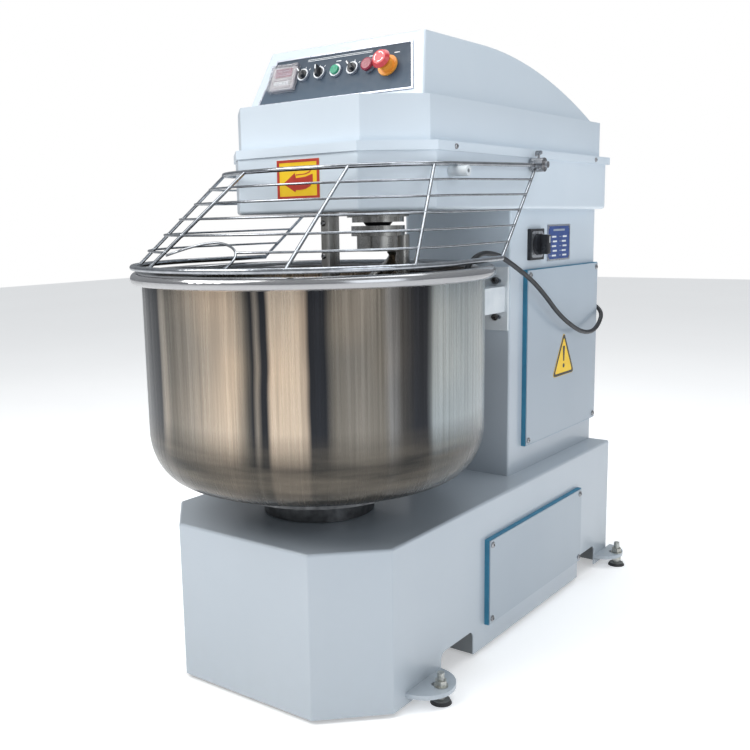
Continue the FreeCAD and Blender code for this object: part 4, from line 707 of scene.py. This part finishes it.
# ---- controls -------------------------------------------------------------------------------
# Places on the hood's leaning face, in mm across it, up it and out of it.
PANEL_TOP = 1.5
ROW_H = 84.0
KNOBS = ((-96.0, 42.0), (-48.0, 15.0), (46.0, 42.0))
KNOB_MARKS = ((-96.0, (42, -2, -42)), (-48.0, (57, 15, -27)), (46.0, (42, 0, -42)))
RINGS_X = (-96.0, -48.0, 46.0, -1.0)
RING_OUTER, RING_INNER = 14.6, 12.1
POINTER_LOW, POINTER_TOP = 21.4, 22.3
ESTOP_X, ESTOP_H = 142.0, 79.0
ESTOP_ARC_LOW, ESTOP_ARC_TOP = 40.2, 40.9
MARK_TOP = PANEL_TOP + 0.25


def turned_on_face(x, h, degrees):
    turn = math.radians(degrees)

    def place(across, up, z):
        return on_face(x + across * math.cos(turn) - up * math.sin(turn),
                       h + across * math.sin(turn) + up * math.cos(turn), z)
    return place


def knob_pointers():
    for index, (x, turn) in enumerate(KNOBS):
        place = turned_on_face(x, ROW_H, turn)
        shape = Shape()
        shape.slab(rounded(-1.5, 1.5, 1.5, 12.2, 1.2), POINTER_LOW, POINTER_TOP, place, 0.2)
        name = "selector_%d" % (index + 1)
        shape.finish(name + "_pointer", name, INK["white"], "knob_black")


def ring_faces():
    """White printed faces on the rings round the selectors and the start button."""
    for index, x in enumerate(RINGS_X):
        shape = Shape()
        shape.band(circle(x, ROW_H, RING_OUTER), circle(x, ROW_H, RING_INNER), PANEL_TOP + 5.9,
                   PANEL_TOP + 6.35, on_face)
        shape.finish("control_ring_%d" % (index + 1), "frame", INK["white"], "control_chrome")


def panel_marks():
    """Plain tick marks for the positions of the controls, and a fine double line above them."""
    shape = Shape()
    for x, turns in KNOB_MARKS:
        for turn in turns:
            place = turned_on_face(x, ROW_H, turn)
            shape.slab(rounded(-0.7, 0.7, 17.5, 22.5, 0.5), PANEL_TOP, MARK_TOP, place)
    for h, half in ((122.5, 92.0), (119.0, 92.0)):
        shape.slab(rounded(-half - 2, half - 2, h, h + 1.1, 0.5), PANEL_TOP, MARK_TOP, on_face)
    for x in (-1.0, 91.0, 158.0):
        shape.slab(rounded(x - 7, x + 7, 108.5, 110.5, 0.6), PANEL_TOP, MARK_TOP, on_face)
    shape.slab(rounded(-164, -140, 118.0, 120.2, 0.6), PANEL_TOP, MARK_TOP, on_face)
    shape.finish("panel_marks", "frame", INK["white"], "control_blue")


def estop_arcs():
    """Three arcs with arrow tips on the mushroom head, showing which way it is released."""
    shape = Shape()
    for first in (20, 140, 260):
        strip = arc_strip(ESTOP_X, ESTOP_H, 10.2, 12.2, first, first + 72)
        tip = math.radians(first + 88)
        tail = math.radians(first + 70)
        points = [(ESTOP_X + reach * math.cos(turn), ESTOP_H + reach * math.sin(turn))
                  for reach, turn in ((11.2, tip), (13.6, tail), (8.8, tail))]
        for outline in (strip, points):
            shape.slab(outline, ESTOP_ARC_LOW, ESTOP_ARC_TOP, on_face)
    shape.finish("emergency_stop_arcs", "emergency_stop", INK["white"], "red_plastic")


TIMER_X, TIMER_H, TIMER_TOP = -152.0, 79.0, 10.5


def timer_face():
    """Display window and a strip of five thumb wheels under the clear lid."""
    shape = Shape()
    x, h = TIMER_X, TIMER_H
    shape.slab(rounded(x - 25, x + 25, h + 2, h + 24, 2), TIMER_TOP - 0.2, TIMER_TOP + 1.2, on_face, 0.4)
    shape.finish("timer_display", "frame", INK["rose"], "timer_plastic")
    shape = Shape()
    shape.band(rounded(x - 28, x + 28, h - 25, h - 2, 2), rounded(x - 25, x + 25, h - 21, h - 6, 1.5),
               TIMER_TOP - 0.2, TIMER_TOP + 2.0, on_face)
    shape.finish("timer_bezel", "frame", FINISHES["timer_plastic"], "timer_plastic")
    shape = Shape()
    for index in range(5):
        middle = x + (index - 2) * 9.6
        start = on_face(middle - 3.6, h - 13.5, TIMER_TOP - 3.2)
        axis = on_face(middle + 3.6, h - 13.5, TIMER_TOP - 3.2) - start
        shape.lathe([(5.6, 0.0), (6.4, 0.6), (6.4, 6.6), (5.6, 7.2)], start, axis, 40, 20, 0.5)
    shape.finish("timer_wheels", "frame", INK["white"], "timer_plastic")


def seven_bars(shape, x, h, lit):
    """One digit of seven short bars."""
    bars = {"a": (-2.4, 2.4, 6.0, 7.2), "g": (-2.4, 2.4, -0.6, 0.6), "d": (-2.4, 2.4, -7.2, -6.0),
            "f": (-3.8, -2.7, 0.9, 6.6), "b": (2.7, 3.8, 0.9, 6.6),
            "e": (-3.8, -2.7, -6.6, -0.9), "c": (2.7, 3.8, -6.6, -0.9)}
    for key in lit:
        x0, x1, h0, h1 = bars[key]
        shape.slab(rectangle(x + x0, x + x1, h + h0, h + h1), TIMER_TOP + 1.1, TIMER_TOP + 1.45, on_face)


def timer_digits():
    shape = Shape()
    for index in range(4):
        seven_bars(shape, TIMER_X - 16.5 + 11 * index, TIMER_H + 13, "abcdef")
    shape.finish("timer_digits", "frame", INK["pale"], "timer_plastic")


knob_pointers()
ring_faces()
panel_marks()
estop_arcs()
timer_face()
timer_digits()


# ---- switch and plates ----------------------------------------------------------------------
SWITCH = (890.0, 957.0)
SWITCH_FRONT = 257.0


def on_side(base):
    """Places a drawing made with rearward and upward axes on a plane that faces +X."""
    def place(y, z, out):
        return at(base + out, y, z)
    return place


def switch_details():
    place = on_side(SWITCH_FRONT)
    y, z = SWITCH
    shape = Shape()
    count = 40
    square = []
    for k in range(count):
        turn = TAU * k / count
        reach = 34.0 / max(abs(math.cos(turn)), abs(math.sin(turn)))
        reach = min(reach, 44.0)
        square.append((y + reach * math.cos(turn), z + reach * math.sin(turn)))
    shape.band(square, circle(y, z, 28.0, count), -0.1, 0.9, place)
    shape.finish("switch_face", "frame", FINISHES["switch_silver"], "switch_silver")
    shape = Shape()
    for degrees in (90, 0):
        turn = math.radians(degrees)
        shape.slab(circle(y + 31 * math.cos(turn), z + 31 * math.sin(turn), 1.7, 16), 0.8, 1.2, place)
    shape.finish("switch_marks", "frame", INK["black"], "switch_silver")
    shape = Shape()
    shape.slab(rounded(y - 1.6, y + 1.6, z + 4, z + 21, 1.2), 34.2, 34.8, place, 0.15)
    shape.finish("switch_pointer", "main_switch", INK["white"], "switch_black")


def rating_print():
    """Silver edge and ten blank fields, with no lettering."""
    y0, y1, z0, z1 = 968.0, 1112.0, 910.0, 1006.0
    place = on_side(249.0)
    shape = Shape()
    shape.band(rectangle(y0, y1, z0, z1), rectangle(y0 + 4, y1 - 4, z0 + 4, z1 - 4), -0.2, 0.4, place)
    shape.finish("rating_plate_edge", "frame", FINISHES["switch_silver"], "plate_blue")
    shape = Shape()
    labels = Shape()
    for column in range(2):
        for row in range(5):
            left = y0 + 12 + column * 63
            foot = z0 + 11 + row * 12.6
            start = left + 16 + 5 * ((row + column) % 2)
            shape.slab(rounded(start, start + 26, foot, foot + 4.6, 1), -0.1, 0.25, place)
            labels.slab(rounded(left, left + 12, foot + 1.4, foot + 3.2, 0.6), -0.1, 0.25, place)
    labels.slab(rounded(y0 + 36, y1 - 36, z1 - 17, z1 - 12, 1), -0.1, 0.25, place)
    shape.finish("rating_plate_fields", "frame", INK["white"], "plate_blue")
    labels.finish("rating_plate_labels", "frame", INK["pale"], "plate_blue")
    shape = Shape()
    for y in (y0 + 7.5, y1 - 7.5):
        for z in (z0 + 7.5, z1 - 7.5):
            shape.lathe([(2.6, -0.2), (2.6, 0.5), (1.8, 1.1), (0.4, 1.3)], place(y, z, 0), (1, 0, 0), 16)
    shape.finish("rating_plate_rivets", "frame", FINISHES["bright_fasteners"], "bright_fasteners")


SIGN_Y, SIGN_FOOT, SIGN_SIDE = 1056, 590, 142
SIGN_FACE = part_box("warning_sign")[1].x / MM


def triangle(middle, foot, side, inset, radius=7.0, steps=4):
    """Upright triangle with rounded corners, drawn in by an inset."""
    height = side * math.sqrt(3) / 2
    centre = foot + height / 3
    reach = 2 * height / 3 - 2 * inset - 2 * radius
    points = []
    for first in (90, 210, 330):
        turn = math.radians(first)
        cx, cz = middle + reach * math.cos(turn), centre + reach * math.sin(turn)
        for step in range(steps + 1):
            corner = math.radians(first - 60 + 120 * step / steps)
            points.append((cx + radius * math.cos(corner), cz + radius * math.sin(corner)))
    return points


def warning_triangle():
    """Black edge, and a plain bar and dot in place of the pictogram."""
    place = on_side(SIGN_FACE)
    shape = Shape()
    outer = triangle(SIGN_Y, SIGN_FOOT, SIGN_SIDE, 1.0)
    inner = triangle(SIGN_Y, SIGN_FOOT, SIGN_SIDE, 8.0, 4.0)
    shape.band(outer, inner, -0.1, 0.3, place)
    bar = [(SIGN_Y - 6.5, 672), (SIGN_Y - 3.5, 630), (SIGN_Y + 3.5, 630), (SIGN_Y + 6.5, 672)]
    shape.slab(bar, -0.1, 0.3, place)
    shape.slab(circle(SIGN_Y, 617, 6.0, 24), -0.1, 0.3, place)
    shape.finish("warning_print", "frame", INK["black"], "sign_yellow")


ARROW = (-51.0, 68.0, 1077.0, 1161.0)
ARROW_FRONT = 219.2


def on_front(x, z, out):
    return at(x, ARROW_FRONT - out, z)


def arrow_print():
    """Red edge and a curved arrow that shows which way the bowl turns."""
    x0, x1, z0, z1 = ARROW
    shape = Shape()
    shape.band(rectangle(x0, x1, z0, z1), rectangle(x0 + 7, x1 - 7, z0 + 6, z1 - 6), -0.1, 0.3, on_front)
    shape.slab([(-33, 1110.5), (0, 1132.5), (3, 1121.5), (30, 1123.5), (50, 1129), (50, 1112), (43, 1103),
                (30, 1097.5), (14, 1095.5), (3, 1096), (0, 1091.5)], -0.1, 0.35, on_front)
    shape.slab([(3.5, 1127.0), (30, 1128.5), (42, 1132), (47, 1138), (45, 1146), (42.6, 1146), (44.4, 1139),
                (40.5, 1134), (29.5, 1130.5), (3.5, 1129.2)], -0.1, 0.35, on_front)
    shape.finish("arrow_print", "frame", INK["red"], "arrow_yellow")


switch_details()
rating_print()
warning_triangle()
arrow_print()


# ---- floor and light ------------------------------------------------------------------------
def make_floor():
    finish = Finish("studio_floor", Specular_IOR_Level=0.25, Emission_Color=(1, 1, 1, 1),
                    Emission_Strength=0.34)
    finish.colour(finish.ramp(finish.noise(0.8, 4), [(0.3, (0.90, 0.90, 0.905)),
                                                     (0.7, (0.93, 0.93, 0.935))]))
    finish.rough(finish.noise(6, 5), 0.6, 0.8)
    finish.bump(finish.noise(140, 4), 0.05, 0.0005)
    mesh = bmesh.new()
    bmesh.ops.create_grid(mesh, x_segments=24, y_segments=24, size=14)
    data = bpy.data.meshes.new("studio_floor")
    mesh.to_mesh(data)
    mesh.free()
    data.materials.append(finish.material)
    floor = bpy.data.objects.new("studio_floor", data)
    bpy.context.scene.collection.objects.link(floor)


def area_light(name, place, target, size, power, colour=(1, 1, 1)):
    data = bpy.data.lights.new(name, "AREA")
    data.shape = "RECTANGLE"
    data.size, data.size_y = size
    data.energy = power
    data.color = colour
    lamp = bpy.data.objects.new(name, data)
    lamp.location = place
    aim = Vector(target) - Vector(place)
    lamp.rotation_euler = aim.to_track_quat("-Z", "Y").to_euler()
    lamp.visible_camera = False
    bpy.context.scene.collection.objects.link(lamp)


SURROUND_STRENGTH = 0.46


def make_world():
    """White behind the object, and a dimmer surround that is all that the object is lit by."""
    world = bpy.data.worlds.new("studio")
    bpy.context.scene.world = world
    world.use_nodes = True
    nodes, links = world.node_tree.nodes, world.node_tree.links
    nodes.clear()
    seen = nodes.new("ShaderNodeBackground")
    seen.inputs["Color"].default_value = (1.0, 1.0, 1.0, 1)
    seen.inputs["Strength"].default_value = 1.0
    round_about = nodes.new("ShaderNodeBackground")
    round_about.inputs["Strength"].default_value = SURROUND_STRENGTH
    coords = nodes.new("ShaderNodeTexCoord")
    axes = nodes.new("ShaderNodeSeparateXYZ")
    fade = nodes.new("ShaderNodeValToRGB")
    fade.color_ramp.elements[0].position = 0.0
    fade.color_ramp.elements[0].color = (0.55, 0.58, 0.63, 1)
    fade.color_ramp.elements[1].position = 0.6
    fade.color_ramp.elements[1].color = (0.93, 0.97, 1.0, 1)
    links.new(coords.outputs["Generated"], axes.inputs["Vector"])
    links.new(axes.outputs["Z"], fade.inputs["Fac"])
    links.new(fade.outputs["Color"], round_about.inputs["Color"])
    path = nodes.new("ShaderNodeLightPath")
    either = nodes.new("ShaderNodeMixShader")
    out = nodes.new("ShaderNodeOutputWorld")
    links.new(path.outputs["Is Camera Ray"], either.inputs["Fac"])
    links.new(round_about.outputs["Background"], either.inputs[1])
    links.new(seen.outputs["Background"], either.inputs[2])
    links.new(either.outputs["Shader"], out.inputs["Surface"])


make_floor()
make_world()
bpy.context.scene.view_settings.view_transform = "Standard"
area_light("key", (-1.2, -2.6, 3.2), (0, -0.1, 1.15), (2.2, 2.2), 92, (1.0, 0.99, 0.97))
area_light("fill", (4.2, -1.4, 2.2), (0, 0, 0.8), (2.6, 2.6), 46, (0.90, 0.95, 1.0))
area_light("top", (0.2, 0.6, 4.4), (0, 0.1, 0.8), (3.2, 3.2), 90, (0.97, 0.99, 1.0))
